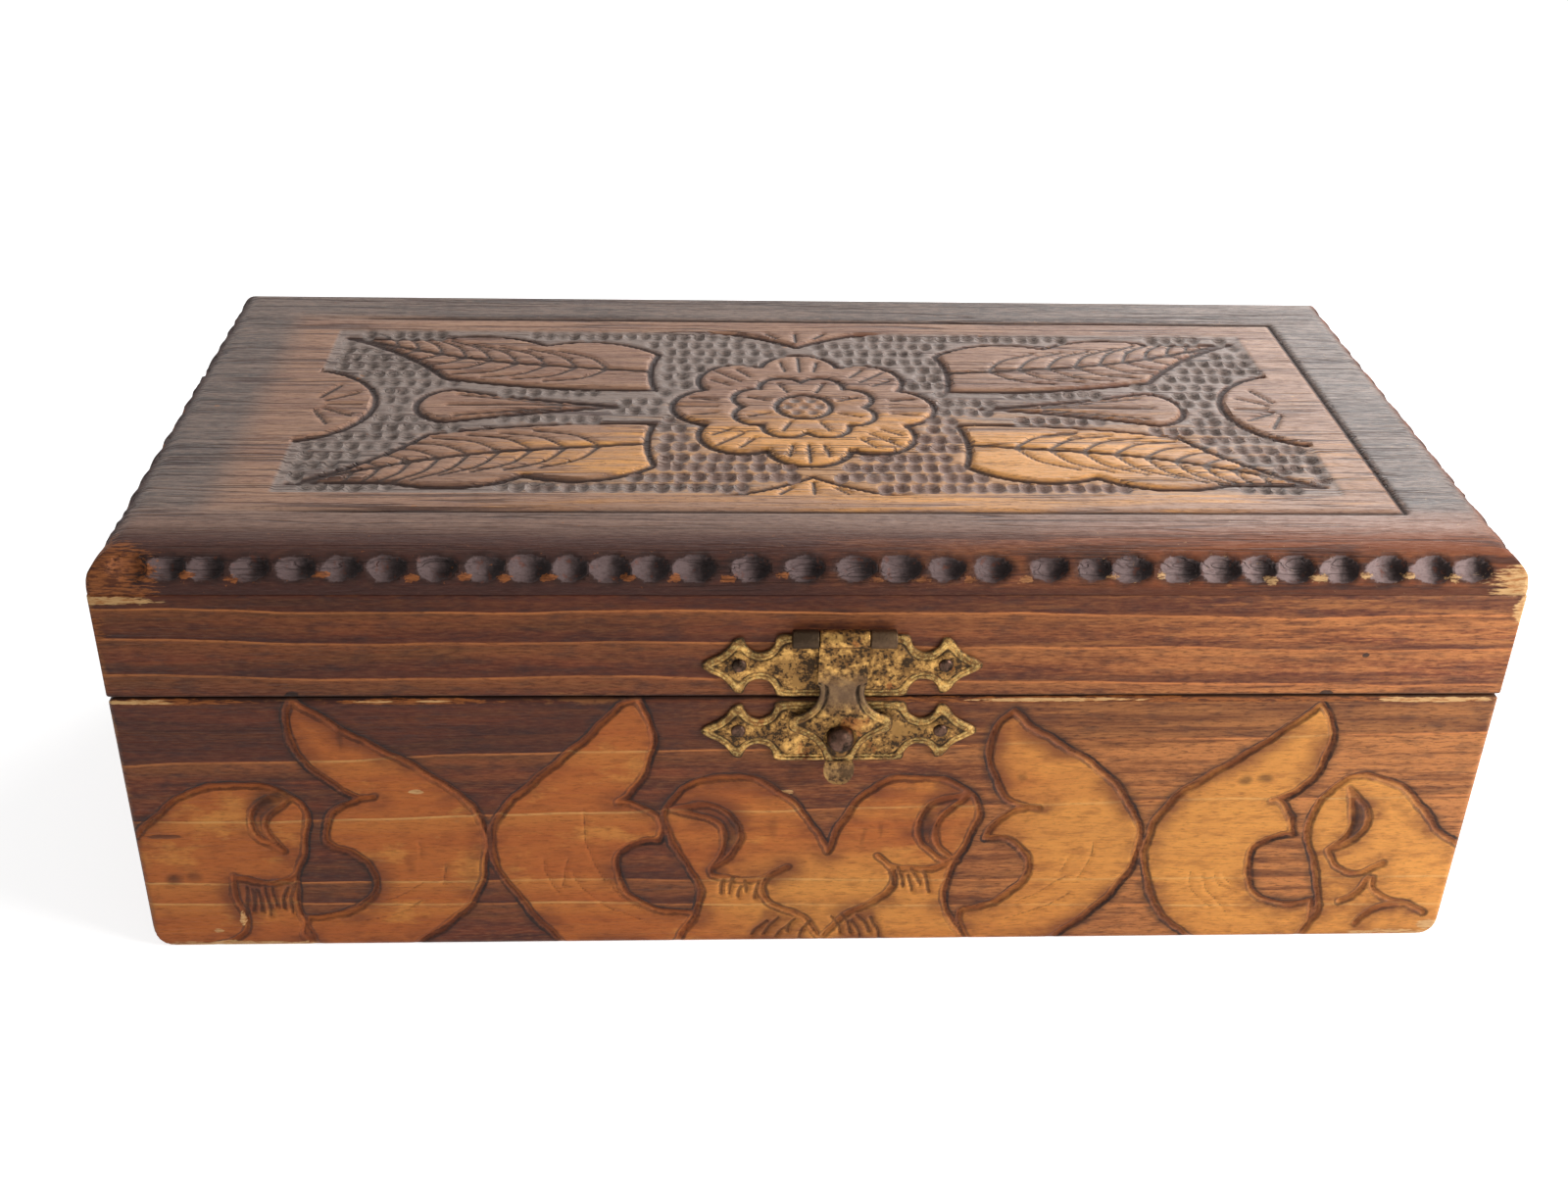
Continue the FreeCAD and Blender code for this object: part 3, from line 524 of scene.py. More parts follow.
def carved_top_wood(band, worn, fresh):
    """The lid's carved top: dark margin, browner panel rubbed golden, charred pits and grooves."""
    wood = Wood("carved_top_wood", LID_BOX, reach=1.2, shine=0.42)
    fade, streaks, flecks = wood.fade, wood.streaks, wood.flecks
    x, y, z = wood.parts(wood.place)
    thin = wood.thinning()
    field = fade(wood.attribute("ground"), -0.4, 0.8)
    from_golden = wood.moved(wood.away(GOLDEN_MIDDLE, GOLDEN_SIZE), streaks, 2.6)
    golden = wood.times(fade(from_golden, 1.3, 0.4), fade(field, 0.0, 1.0, 0.95, 0.6))
    panel = wood.layers(
        wood.mix(fade(streaks, 0.34, 0.66), TOP_BAND, TOP_BAND_PALE),
        (CHAR_PALE, field),
        (TOP_WORN, golden))
    # The margin's stain tones are greyed with a painted sheen.
    margin = wood.layers(
        wood.mix(fade(streaks, 0.36, 0.64), TOP_MARGIN_SHEENED, TOP_MARGIN_PALE_SHEENED),
        (FRONT_WARM, fade(y, -46.0, -56.0), fade(thin, 0.0, 1.0, 0.35, 0.75)))
    beyond = wood.most(*[wood.math("SUBTRACT", wood.math("ABSOLUTE", part), half)
                         for part, half in zip((x, y), band)])
    rubbed_left = fade(x, -80.0, -105.0, 1.2, 5.0)
    beyond = wood.math("DIVIDE", wood.moved(beyond, streaks, 5.0), rubbed_left)
    toward_front = fade(wood.math("MULTIPLY_ADD", streaks, -6.0, y), -57.5, -66.0, 0.0, 0.95)
    rolled_edge = wood.most(fade(z, TOP_HIGH[2] - 0.05, TOP_HIGH[2] - 1.2), toward_front)
    scorch = wood.layers(wood.mix(fade(flecks, 0.35, 0.65), CHAR, CHAR_PALE), (EDGE_WARM, golden, 0.45))
    pit = wood.attribute("pit")
    colour = wood.layers(
        panel,
        (margin, fade(beyond, -1.0, 1.0)),
        (TOP_BAND_PALE, fade(flecks, 0.5, 0.34), 0.25),
        (STAIN_DARK, fade(flecks, 0.5, 0.68), 0.45),
        (STAIN_DARK, wood.furrows, 0.75),
        (edge_stain(wood, thin, z), rolled_edge),
        (BURNT, fade(wood.attribute("groove"), 1.0, 0.45), 0.85),
        (scorch, fade(pit, 0.1, 0.5, 0.0, 0.9)),
        (BURNT, fade(pit, 0.8, 1.5, 0.0, 0.25)),
        *dent_layers(wood, thin),
        (SPLINTER, wood.most(wood.wear, wood.nicks), 0.5))
    colour = wood.layers(
        wood.knocked_off(colour, worn, fresh),
        (wood.bare(), fade(z, TOP_LOW[2] + 0.3, TOP_LOW[2] + 0.1), wood.inside),
        (BURNT, wood.specks, 0.2))
    roughness = wood.math("MULTIPLY_ADD", rolled_edge, 0.24, fade(flecks, 0.3, 0.7, 0.42, 0.58))
    relief = wood.math("SUBTRACT", wood.times(flecks, 0.6), wood.times(wood.furrows, 0.8))
    return wood.finish(colour, roughness, relief, 0.4)


def bare_board():
    """The unstained bottom: pale boards gone grey-brown with handling."""
    wood = Wood("bare_board")
    colour = wood.layers(
        wood.bare(),
        (INNER_DARK, wood.furrows, 0.5),
        (STAIN_DARK, wood.specks, 0.5),
        (BARE_WOOD, wood.nicks, 0.7))
    roughness = wood.fade(wood.flecks, 0.3, 0.7, 0.55, 0.75)
    return wood.finish(colour, roughness, wood.math("ADD", wood.flecks, wood.rings), 0.25)


# Metal finishes


def aged_brass(name, bright, brown, dark, share, stamped=False):
    """Yellow metal gone brown in patches and black in specks; where it is stamped, with rubbed rims that
    carry a painted highlight, and a cut edge darkened by tarnish and painted shade.
    """
    metal = Finish(name, Metallic=1.0)
    fade = metal.fade
    broad = metal.noise(metal.place, (0.13, 0.13), 3, 0.6)
    patch = metal.noise(metal.place, (0.32, 0.32), 6, 0.7)
    fine = metal.noise(metal.place, (1.3, 1.3), 4, 0.65)
    dull = fade(metal.math("MULTIPLY_ADD", fine, 0.3, patch), share - 0.18, share + 0.06)
    dull = metal.most(dull, fade(broad, 0.5, 0.62, 0.0, 0.8))
    black = fade(metal.moved(patch, fine, 0.9), share - 0.09, share - 0.03)
    colour = metal.mix(dull, bright, brown)
    if stamped:
        inside = metal.attribute("inside")
        handled = metal.attribute("handled")
        pressed = metal.math("ABSOLUTE", metal.math("SUBTRACT", inside, PRESSED_LINE))
        ridge = metal.times(fade(inside, 0.15, 0.4), fade(inside, 1.1, 0.8))
        line = metal.times(fade(pressed, 0.6, 0.25), fade(patch, 0.36, 0.5, 0.55, 1.0))
        specks = metal.times(black, fade(ridge, 0.0, 1.0, 1.0, 0.45), fade(handled, 0.3, 0.8, 1.0, 0.15))
        # The cut edge goes black: partly tarnish, partly painted shade along the sheet's edge.
        black = metal.most(specks, line, fade(inside, 0.3, 0.05, 0.0, 0.85))
        colour = metal.layers(
            colour,
            (COPPERY, fade(metal.moved(broad, fine, 0.2), 0.38, 0.32, 0.0, 0.6)),
            # Painted highlight along the stamped rims.
            (BRASS_HIGHLIGHT, ridge, fade(fine, 0.46, 0.6, 0.0, 0.6)),
            (HANDLED_BRASS, fade(handled, 0.0, 1.0, 0.0, 0.9)),
            (BRASS_DARK, fade(handled, 1.0, 2.0)))
    colour = metal.layers(colour, (dark, black, 0.9))
    roughness = metal.math("MULTIPLY_ADD", metal.most(dull, black), 0.22, 0.34)
    return metal.finish(colour, roughness, metal.math("ADD", fine, patch), 0.14)


# Drawn lines

FAR = 6.0


def flowing(points, steps=7):
    """A smooth line through given points."""
    spots = np.array(points, float)
    padded = np.vstack([2 * spots[0] - spots[1], spots, 2 * spots[-1] - spots[-2]])
    way = np.linspace(0, 1, steps, endpoint=False)[:, None]
    spans = []
    for before, start, end, after in zip(padded, padded[1:], padded[2:], padded[3:]):
        bend = 2 * before - 5 * start + 4 * end - after
        twist = 3 * start - before - 3 * end + after
        spans.append(0.5 * (2 * start + (end - before) * way + bend * way ** 2 + twist * way ** 3))
    spans.append(spots[-1:])
    return np.vstack(spans)


def outline(*runs):
    """A closed outline of smooth runs, each from where the one before it ends, with corners between them."""
    starts = [run[-1] for run in runs[-1:] + runs[:-1]]
    lines = [flowing([start, *run]) for start, run in zip(starts, runs)]
    return np.vstack(lines + [lines[0][:1]])


def distance_to(points, line):
    """How far each point lies from a drawn line, where that is less than FAR."""
    nearest = np.full(len(points), FAR)
    for start, end in zip(line[:-1], line[1:]):
        low = np.minimum(start, end) - FAR
        high = np.maximum(start, end) + FAR
        close = np.where(np.all((points > low) & (points < high), axis=1))[0]
        run = end - start
        offset = points[close] - start
        share = np.clip(offset @ run / max(run @ run, 1e-9), 0, 1)
        away = np.linalg.norm(offset - share[:, None] * run, axis=1)
        nearest[close] = np.minimum(nearest[close], away)
    return nearest


def within(points, line):
    """Which points lie inside a closed outline."""
    inside = np.zeros(len(points), bool)
    for (x0, y0), (x1, y1) in zip(line[:-1], line[1:]):
        if y0 == y1:
            continue
        crosses = (points[:, 1] < y0) != (points[:, 1] < y1)
        reached = x0 + (points[:, 1] - y0) / (y1 - y0) * (x1 - x0)
        inside ^= crosses & (points[:, 0] < reached)
    return inside


def depth_in(points, line, away):
    """The distance from a closed outline, negative outside it."""
    return np.where(within(points, line), away, -away)


# Carved sheets


class CarvedSheet:
    """A dense sheet over the face of a board, rolled over at its edges, that marks are sunk into."""

    def __init__(self, half, roll, step, corner):
        half = np.array(half)
        flat = half - roll
        self.reach = flat + roll * math.pi / 2
        self.counts = np.ceil(2 * self.reach / step).astype(int)
        self.bm = bmesh.new()
        across, along = [int(count) for count in self.counts]
        bmesh.ops.create_grid(self.bm, x_segments=across, y_segments=along, size=1)
        self.arc = np.array([vert.co[:2] for vert in self.bm.verts]) * self.reach
        turn = np.clip(np.abs(self.arc) - flat, 0, None) / roll
        side = np.sign(self.arc)
        self.spot = np.where(turn > 0, side * (flat + roll * np.sin(turn)), self.arc)
        steepest = turn.max(axis=1)
        self.drop = roll * (1 - np.cos(steepest))
        tilt = np.where(turn == steepest[:, None], side * np.sin(turn), 0.0)
        self.facing = np.column_stack([tilt, np.cos(steepest)])
        self.round_corners(half, corner(side[:, 1], self.drop / roll))
        self.sink = np.zeros(len(self.arc))
        self.marks = {}

    def round_corners(self, half, radius):
        """Rubs the four corners round, by a radius for each point."""
        from_corner = np.abs(self.spot) - (half - radius[:, None])
        away = np.linalg.norm(np.clip(from_corner, 0, None), axis=1)
        outside = (from_corner > 0).all(axis=1) & (away > radius)
        pull = (1 - radius / np.maximum(away, 1e-9))[:, None] * np.clip(from_corner, 0, None)
        self.spot = np.where(outside[:, None], self.spot - np.sign(self.spot) * pull, self.spot)

    def nearest(self, place):
        """The point of the sheet's flat that lies nearest to a place."""
        column, row = np.rint((np.array(place) / self.reach + 1) / 2 * self.counts).astype(int)
        return row * (self.counts[0] + 1) + column

    def groove(self, line, half_width, depth, kept=True):
        """Sinks a rounded groove along a line where it is kept, and gives each point's distance from it."""
        away = np.where(kept, distance_to(self.spot, line), FAR)
        share = np.clip(1 - away / half_width, 0, 1)
        self.sink = np.maximum(self.sink, depth * share * (2 - share))
        return away

    def cut(self, lines, half_width, depth):
        """Sinks a groove along each line, and gives each point's distance from the nearest."""
        return np.min([self.groove(line, half_width, depth) for line in lines], axis=0)

    def pit(self, places, centre, size, depth, lean=(0.0, 0.0)):
        """Sinks one bowl, deeper to the side that it leans to, and gives how deep each point lies."""
        close = np.where((np.abs(places - centre) < size).all(axis=1))[0]
        offset = (places[close] - centre) / size
        share = np.clip(1 - (offset ** 2).sum(axis=1), 0, 1)
        bowl = np.zeros(len(places))
        bowl[close] = depth * share ** 0.8 * (1 + offset @ np.array(lean))
        self.sink = np.maximum(self.sink, bowl)
        return bowl

    def spare_border(self, width):
        """Lets the marks run out before they reach the sheet's border."""
        edge = (self.reach - np.abs(self.arc)).min(axis=1)
        self.sink = self.sink * np.clip((edge - width / 2) / width, 0, 1)

    def settle(self, origin, right, up, out):
        """Puts the sheet in its place and stores its marks on the points."""
        axes = np.array([right, up, out], float)
        local = np.column_stack([self.spot, -self.drop]) - self.facing * self.sink[:, None]
        places = (np.array(origin) + local @ axes) * MM
        layers = {name: self.bm.verts.layers.float.new(name) for name in self.marks}
        for index, vert in enumerate(self.bm.verts):
            vert.co = places[index]
            for name, layer in layers.items():
                vert[layer] = self.marks[name][index]
        return self.bm


def rim_edges(bm):
    return [edge for edge in bm.edges if edge.is_boundary]


def skirt(bm, place):
    """Extrudes the sheet's border once, and puts each new point where the function says."""
    made = bmesh.ops.extrude_edge_only(bm, edges=rim_edges(bm))
    for part in made["geom"]:
        if isinstance(part, bmesh.types.BMVert):
            part.co = place(part.co)


def close_back(bm):
    """Fills the open back and cleans up points that fell together."""
    bmesh.ops.remove_doubles(bm, verts=bm.verts, dist=MERGE)
    bmesh.ops.contextual_create(bm, geom=rim_edges(bm))
    bmesh.ops.recalc_face_normals(bm, faces=bm.faces)


# Pieces

CREASE = math.radians(38)
FLAT = math.radians(0.5)
SHARP = 1.0
LONG_EDGE = 2.5
BASE_EDGE = 0.7
LID_EDGE = 0.6
BOTTOM_EDGE = 0.4
END_FOOT = 3.0


def new_object(name, data):
    """A new object in the scene."""
    made = bpy.data.objects.new(name, data)
    bpy.context.scene.collection.objects.link(made)
    return made


def make_piece(bm, name, body, replaced, material):
    """Makes a mesh into a named piece that rides on a body in place of its node."""
    mesh = bpy.data.meshes.new(name)
    bm.to_mesh(mesh)
    bm.free()
    if "custom_normal" in mesh.attributes:
        mesh.attributes.remove(mesh.attributes["custom_normal"])
    for face in mesh.polygons:
        face.use_smooth = True
        face.material_index = 0
    mesh.set_sharp_from_angle(angle=CREASE)
    mesh.materials.clear()
    mesh.materials.append(material)
    piece = new_object(name, mesh)
    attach(piece, body)
    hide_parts(replaced)


def node_copy(node):
    """A merged copy of a node's mesh, with its flat faces whole again."""
    bm = bmesh.new()
    bm.from_mesh(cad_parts[node].data)
    bmesh.ops.remove_doubles(bm, verts=bm.verts, dist=MERGE)
    bmesh.ops.dissolve_limit(bm, angle_limit=FLAT, verts=bm.verts, edges=bm.edges)
    return bm


def round_edges(bm, edges, width, segments, clamp=False):
    bmesh.ops.bevel(bm, geom=edges, offset=width * MM, segments=segments, profile=0.5, material=-1,
                    affect="EDGES", clamp_overlap=clamp)


def worn_board(node, body, material, width, foot=0.0):
    """A board with its long outward edges rubbed round, and its foot more so where that is asked."""
    bm = node_copy(node)
    if foot:
        low = min(vert.co.z for vert in bm.verts)
        corner = {vert for vert in bm.verts
                  if vert.co.z - low < MERGE and abs(vert.co.x) / MM > BASE_HIGH[0] - 0.01}
        round_edges(bm, [edge for edge in bm.edges if corner.issuperset(edge.verts)], foot, 5)
    sharp = [edge for edge in bm.edges if edge.is_manifold and edge.calc_length() > LONG_EDGE * MM
             and edge.calc_face_angle_signed() > SHARP]
    round_edges(bm, sharp, width, 3, clamp=True)
    bmesh.ops.remove_doubles(bm, verts=bm.verts, dist=MERGE)
    make_piece(bm, "worn_" + node, body, node, material)


# The frieze on the base front, in the front's own plane: across and up, from the middle of its foot

LEAF_ONE = outline(
    [(-97, 58), (-90, 53), (-83, 48.5), (-76, 43), (-70, 37), (-68, 30), (-68.5, 22), (-71, 13),
     (-77, 6), (-86, -1)],
    [(-104, -1)],
    [(-108, 3), (-107, 8)],
    [(-103, 8), (-97, 10), (-93, 13.5), (-91.5, 18), (-93, 22.5), (-96, 25.5), (-99.5, 26.5)],
    [(-101, 29), (-100.5, 33), (-98, 37), (-93, 39.5)],
    [(-97, 42), (-102, 47), (-105, 52), (-106, 58), (-104.5, 64)])
LEAF_TWO = outline(
    [(-40, 62), (-46, 55), (-53, 48), (-60, 41), (-65, 35), (-67, 28), (-66, 21), (-63, 15), (-59, 8),
     (-52, -1)],
    [(-29, -1)],
    [(-27, 3), (-24.5, 8)],
    [(-31, 9), (-35, 10.5), (-39, 14), (-41, 20), (-40, 25), (-36, 27.5), (-32, 28)],
    [(-31.5, 31), (-33, 35), (-37, 37.5), (-40.5, 38)],
    [(-38, 40), (-35, 45), (-33, 52), (-33.5, 58), (-36, 64)])
LEAF_THREE = outline(
    [(45, 56), (51, 52), (58, 47), (64, 41), (68, 34.5), (70, 28), (69, 20), (65, 12), (59, 5), (52, -1)],
    [(36, -1)],
    [(33, 4), (33, 8.5)],
    [(36, 9), (40, 10.5), (44, 14), (47, 19), (46, 23.5), (42, 27.5), (37, 28)],
    [(38, 31.5), (42, 35), (45, 36)],
    [(40, 39), (37.5, 44), (36, 50), (36.5, 56), (40, 60.5)])
LEAF_FOUR = outline(
    [(98, 57), (91, 51), (84, 45.5), (77, 39.5), (73, 33), (71.5, 26), (72.5, 18), (75.5, 10), (80, 4),
     (86, -1)],
    [(108, -1)],
    [(111, 4), (110, 10.5)],
    [(106, 9.5), (101, 10), (97, 13), (94.5, 20), (95, 25), (99, 28), (103, 28.5)],
    [(102, 33), (99, 37), (97, 37.5)],
    [(102, 40), (105.5, 45), (107, 52), (106, 58), (103.5, 62)])
CENTRE_LOBES = outline(
    [(-31, 33), (-30, 37), (-27, 41.5), (-21, 44), (-14, 44.5), (-9, 42), (-4, 38), (0, 32), (3.5, 25)],
    [(6, 32), (10, 39), (16, 43.5), (22, 44), (28, 43), (33, 40), (35, 35), (34, 30), (31, 22),
     (29.5, 17), (29.5, 10), (32, 4), (36, -1)],
    [(-29, -1)],
    [(-27, 3), (-24, 9), (-23.5, 15), (-26, 21), (-29, 27)])
RIGHT_END = outline(
    [(106, 33), (109, 40), (113, 43.5), (118, 43.5), (124, 41), (130, 35), (135, 29), (142, 24)],
    [(142, -1)],
    [(108, -1)],
    [(111, 4), (112, 8), (111, 14), (109, 20), (106.5, 27)])
LEFT_END = outline(
    [(-135, 35), (-130, 39.5), (-123, 42.5), (-115, 43), (-108, 41), (-104.5, 37), (-104.5, 32),
     (-106, 25), (-108, 19)],
    [(-108.5, 14), (-108, 8), (-106.5, 2), (-105.5, -1)],
    [(-142, -1)],
    [(-142, 28)])
FRIEZE = (LEAF_ONE, LEAF_TWO, LEAF_THREE, LEAF_FOUR, CENTRE_LOBES, RIGHT_END, LEFT_END)
FRIEZE_LINES = [flowing(points) for points in (
    [(-21, 20.5), (-20, 18.3), (-14, 17.3), (-9.5, 18), (-5, 20.5)],
    [(-5, 20.5), (-9, 18), (-10.3, 14.5), (-8.5, 11), (-4, 8.5), (0, 5.5), (3, 0.5)],
    [(14.5, 23.5), (17, 21), (18, 17), (16.5, 13), (13, 10.3), (9, 8), (5.5, 4.5), (3, 0.5)],
    [(17, 21), (20, 20), (26, 20.2), (31, 22.5)],
    [(-107.5, 20), (-110, 18.3), (-115, 17.5), (-121, 19)],
    [(-121, 19.5), (-121.5, 14), (-119.5, 8), (-121.5, 3), (-127, 0.5)],
    [(111.5, 24), (114, 20), (119, 17.5), (124, 20.5)],
    [(122.8, 16.5), (123.8, 13), (127.5, 10.2), (131.8, 9.4), (136.3, 6.3)],
    [(122, 16.5), (119.3, 12), (116.7, 10)],
    [(131.8, 9.4), (125.3, 8.2), (121.2, 3.6)],
    [(-93, 39.5), (-90, 39.7)],
    [(45, 36), (47.5, 35.8)])]
LEFT_CURL = outline(
    [(-22, 37.5), (-17, 34), (-15, 29), (-17, 24), (-21, 20.5)],
    [(-18.5, 26), (-18.5, 30.5), (-22, 34), (-29, 36)])
RIGHT_CURL = outline(
    [(26, 38), (22.5, 33), (23.5, 27), (28, 22.5), (31.5, 22)],
    [(27, 26), (26, 31), (28.5, 35.5), (33, 40)])
LEFT_END_CURL = outline(
    [(-112, 39.5), (-115.5, 35), (-115, 30), (-110, 26)],
    [(-112.5, 30), (-112.5, 34.5), (-107.5, 39.5)])
RIGHT_END_CURL = outline(
    [(117.5, 35.5), (118.5, 30), (115, 26), (111.5, 24)],
    [(114.5, 28), (115.5, 32), (113, 40.5)])
CURLS = (LEFT_CURL, RIGHT_CURL, LEFT_END_CURL, RIGHT_END_CURL)
LEFT_FLAME = outline(
    [(-12, 5), (-15, -1)],
    [(1.5, -1)],
    [(-1, 5), (-5, 8), (-9.5, 9.5)])
RIGHT_FLAME = outline(
    [(16, 5), (18.5, -1)],
    [(4.5, -1)],
    [(8, 5.5), (13.5, 10)])
LEFT_STEM = outline(
    [(-120.5, 18)],
    [(-119.5, 9)],
    [(-109, 10)],
    [(-109, 17.5)])
DUSKY = CURLS + (LEFT_FLAME, RIGHT_FLAME, LEFT_STEM)
FRONT_ROLL = 1.3
FRONT_STEP = 0.46
TOP_CORNER = 1.6
FOOT_CORNER = 6.0
PLAIN_EDGE = 1.6
SCORCH_REACH = 1.6
# Half width and depth of the grooves
LEAF_GROOVE = (0.85, 0.65)
CURL_GROOVE = (0.75, 0.55)
STEM_GROOVE = (0.7, 0.4)
FINE_GROOVE = (0.5, 0.15)
# Heights of the growth lines at the left and right end
FRIEZE_GROWTH = ((48.5, 55.3), (33.5, 39), (17.5, 17.0), (12, 9))
RAIL_GROWTH = ((84.5, 83), (77.5, 75.3), (69.5, 67))


def slanted_strokes(left, right, low, high, count, lean):
    """A hand-drawn row of short near-upright strokes."""
    chance = random.Random(count)
    strokes = []
    for x in np.linspace(left, right, count):
        top = high + chance.uniform(-1.5, 0.8)
        foot = low + chance.uniform(-1.0, 2.5)
        tilt = lean + chance.uniform(-0.8, 0.8)
        strokes.append(flowing([(x, foot), (x + tilt * 0.3, (foot + top) / 2), (x + tilt, top)]))
    return strokes


STEM_STROKES = (
    slanted_strokes(-19, -11.5, 12, 17, 5, 0.2)
    + slanted_strokes(18, 26, 13.5, 19.5, 5, -1.6)
    + slanted_strokes(-119.5, -110, 9, 17, 7, 0.5)
    + slanted_strokes(7, 16, 0.5, 7, 5, -2.5)
    + slanted_strokes(-12, -2, 0.5, 6, 5, 2.5))
SCORCHES = (
    ((-112.8, 37.6), (2.6, 3.6), 1.0), ((-109, 40.2), (2.6, 1.3), 0.9),
    ((-16.6, 29.5), (1.5, 4.0), 0.9), ((24.2, 31.5), (1.3, 4.6), 0.8), ((116.6, 31.5), (1.2, 4.4), 0.8),
    ((-133.2, 18.6), (1.5, 1.3), 0.9), ((-129.2, 19.2), (1.3, 1.1), 0.6),
    ((90.5, 42.8), (1.1, 0.9), 0.7), ((94.5, 43.6), (1.5, 0.8), 0.7), ((43.5, 44.0), (0.9, 0.8), 0.5),
    ((-19.5, 19.4), (1.8, 1.0), 0.6), ((-97.8, 38.2), (2.4, 1.0), 0.7),
    ((-95.5, 54.5), (0.5, 2.0), 0.5), ((-92, 54), (0.4, 1.6), 0.4), ((-84, 22), (0.9, 2.0), 0.3),
    ((-8, 31), (0.8, 2.4), 0.35), ((11, 29), (0.4, 2.0), 0.4), ((14.5, 30.5), (0.4, 1.5), 0.4),
    ((102, 34), (1.2, 1.0), 0.4))
FINE_FAINTNESS = 0.26
FINE_STROKES = [flowing(points) for points in (
    [(-47.6, 36.5), (-47.3, 29.3), (-45.8, 22.1), (-43.5, 16.9)],
    [(-50.4, 20.2), (-48.1, 14.9), (-42.4, 9.7), (-34.8, 5.8)],
    [(-56.2, 23.4), (-55.9, 18.8), (-53.3, 14.3)],
    [(-51, 23.4), (-51.6, 20.2), (-52.8, 16.2)],
    [(-42.9, 17.5), (-40, 13), (-35.4, 9)],
    [(-82, 28), (-81.8, 26), (-81.5, 24)],
    [(-76.7, 22.1), (-76.9, 19.5), (-77.6, 16.9)],
    [(-95, 7), (-88, 8.5), (-82, 12.5)],
    [(-90.5, 12.5), (-86, 14), (-82, 17)],
    [(60, 27), (59.9, 21.6), (57.5, 16.6)],
    [(55.6, 23.3), (54.5, 20.8), (53.5, 18.3)],
    [(45.3, 10.8), (50.6, 14), (55.1, 17.4)],
    [(43, 6), (50, 8.5), (57, 13)],
    [(82.2, 18.3), (83.3, 14), (88.3, 8.3)],
    [(84.8, 17.8), (86.9, 13.3), (92, 7.4)],
    [(87.3, 18.3), (88.9, 15), (92.8, 12.8)],
    [(89.5, 18.3), (90.3, 16.5), (91.5, 15)])]


def hand_wander(spots):
    """How far the hand slipped at each place when it cut the lines."""
    x, y = spots.T
    across = 0.2 * np.sin(0.45 * x + 0.6 * y) + 0.07 * np.sin(1.4 * x - 0.9 * y + 1.0)
    upward = 0.2 * np.sin(0.5 * x - 0.4 * y + 2.0) + 0.07 * np.sin(1.2 * x + 1.3 * y)
    return np.column_stack([across, upward])


def carved_front(material):
    """The front board of the base, with its frieze of leaves grooved in."""
    middle = (FRONT_LOW + FRONT_HIGH) / 2
    half = ((FRONT_HIGH - FRONT_LOW) / 2)[[0, 2]]
    foot = np.array([0, half[1]])
    sheet = CarvedSheet(half, FRONT_ROLL, FRONT_STEP,
                        lambda up, rolled: np.where(up > 0, TOP_CORNER, FOOT_CORNER))
    here = sheet.spot
    drawn = here + foot + hand_wander(here)
    sheet.spot = drawn
    edges = [sheet.groove(shape, *LEAF_GROOVE) for shape in FRIEZE]
    leaf = np.max([depth_in(drawn, shape, away) for shape, away in zip(FRIEZE, edges)], axis=0)
    dusk = np.max([depth_in(drawn, shape, distance_to(drawn, shape)) for shape in DUSKY], axis=0)
    groove = np.min([*edges, sheet.cut([*CURLS, *FRIEZE_LINES], *CURL_GROOVE)], axis=0)
    hatch = np.minimum(sheet.cut(STEM_STROKES, *STEM_GROOVE),
                       sheet.cut(FINE_STROKES, *FINE_GROOVE) + FINE_FAINTNESS)
    scorch = np.zeros(len(here))
    for place, size, strength in SCORCHES:
        away = np.linalg.norm((drawn - place) / np.array(size), axis=1)
        scorch = np.maximum(scorch, strength * np.clip(SCORCH_REACH - away, 0, 1))
    sheet.spot = here
    sheet.spare_border(PLAIN_EDGE)
    sheet.marks = {"groove": groove, "leaf": leaf, "hatch": hatch, "dusk": dusk, "scorch": scorch}
    bm = sheet.settle((middle[0], FRONT_LOW[1], middle[2]), (1, 0, 0), (0, 0, 1), (0, -1, 0))
    shoulder = (FRONT_LOW[1] + TONGUE) * MM
    reach = (half[0] - WALL) * MM
    floor = INNER_FLOOR * MM
    skirt(bm, lambda co: Vector((co.x, shoulder, co.z)))
    skirt(bm, lambda co: Vector((max(-reach, min(reach, co.x)), shoulder, max(floor, co.z))))
    skirt(bm, lambda co: Vector((co.x, FRONT_HIGH[1] * MM, co.z)))
    close_back(bm)
    make_piece(bm, "carved_front", "base", "base_front_board", material)


# The lid's carving, in the lid's own plane: right and back, from its middle

LID_HALF = ((TOP_HIGH - TOP_LOW) / 2)[:2]
MARGIN_WIDTH = 19.5
BAND_WIDTH = np.array([10.0, 7.5])
BORDER_HALF = LID_HALF - MARGIN_WIDTH
PANEL_HALF = BORDER_HALF - BAND_WIDTH
BORDER_FADE = 26.0
GROUND_SINK = 0.3
FRONT_DENTS = (
    -132, -125, -117.5, -109, -100.5, -92, -83.5, -74, -65, -56.5, -48.5, -41, -33.5, -25, -14, -3.5,
    6.5, 15, 24, 33, 44, 53, 60.5, 70, 78, 85.5, 92.5, 101.5, 111, 120, 128)
DENT_PITCH = 8.75
DENT_TURN = math.radians(54)
DENT_SIZE = np.array([4.15, 2.75])
DENT_WANDER = 0.9
DENT_SLIP = 0.7
DENT_SWELL = (0.92, 1.08)
DENT_DEPTH = (1.6, 2.1)
DENT_LEAN = 0.55
DENT_HALO = 1.6
CHIPPED = 0.7
CHIP_DEPTH = 0.3
CHIP_BEHIND = (3.4, 4.6)
CHIP_OUTWARD = (1.2, 2.4)
CHIP_LONG = (1.5, 2.6)
CHIP_WIDE = (0.7, 1.2)
LID_SEED = 11
LID_STEP = 0.69
LID_ROLL = 7.0
LID_CORNER = (4.5, 1.2)
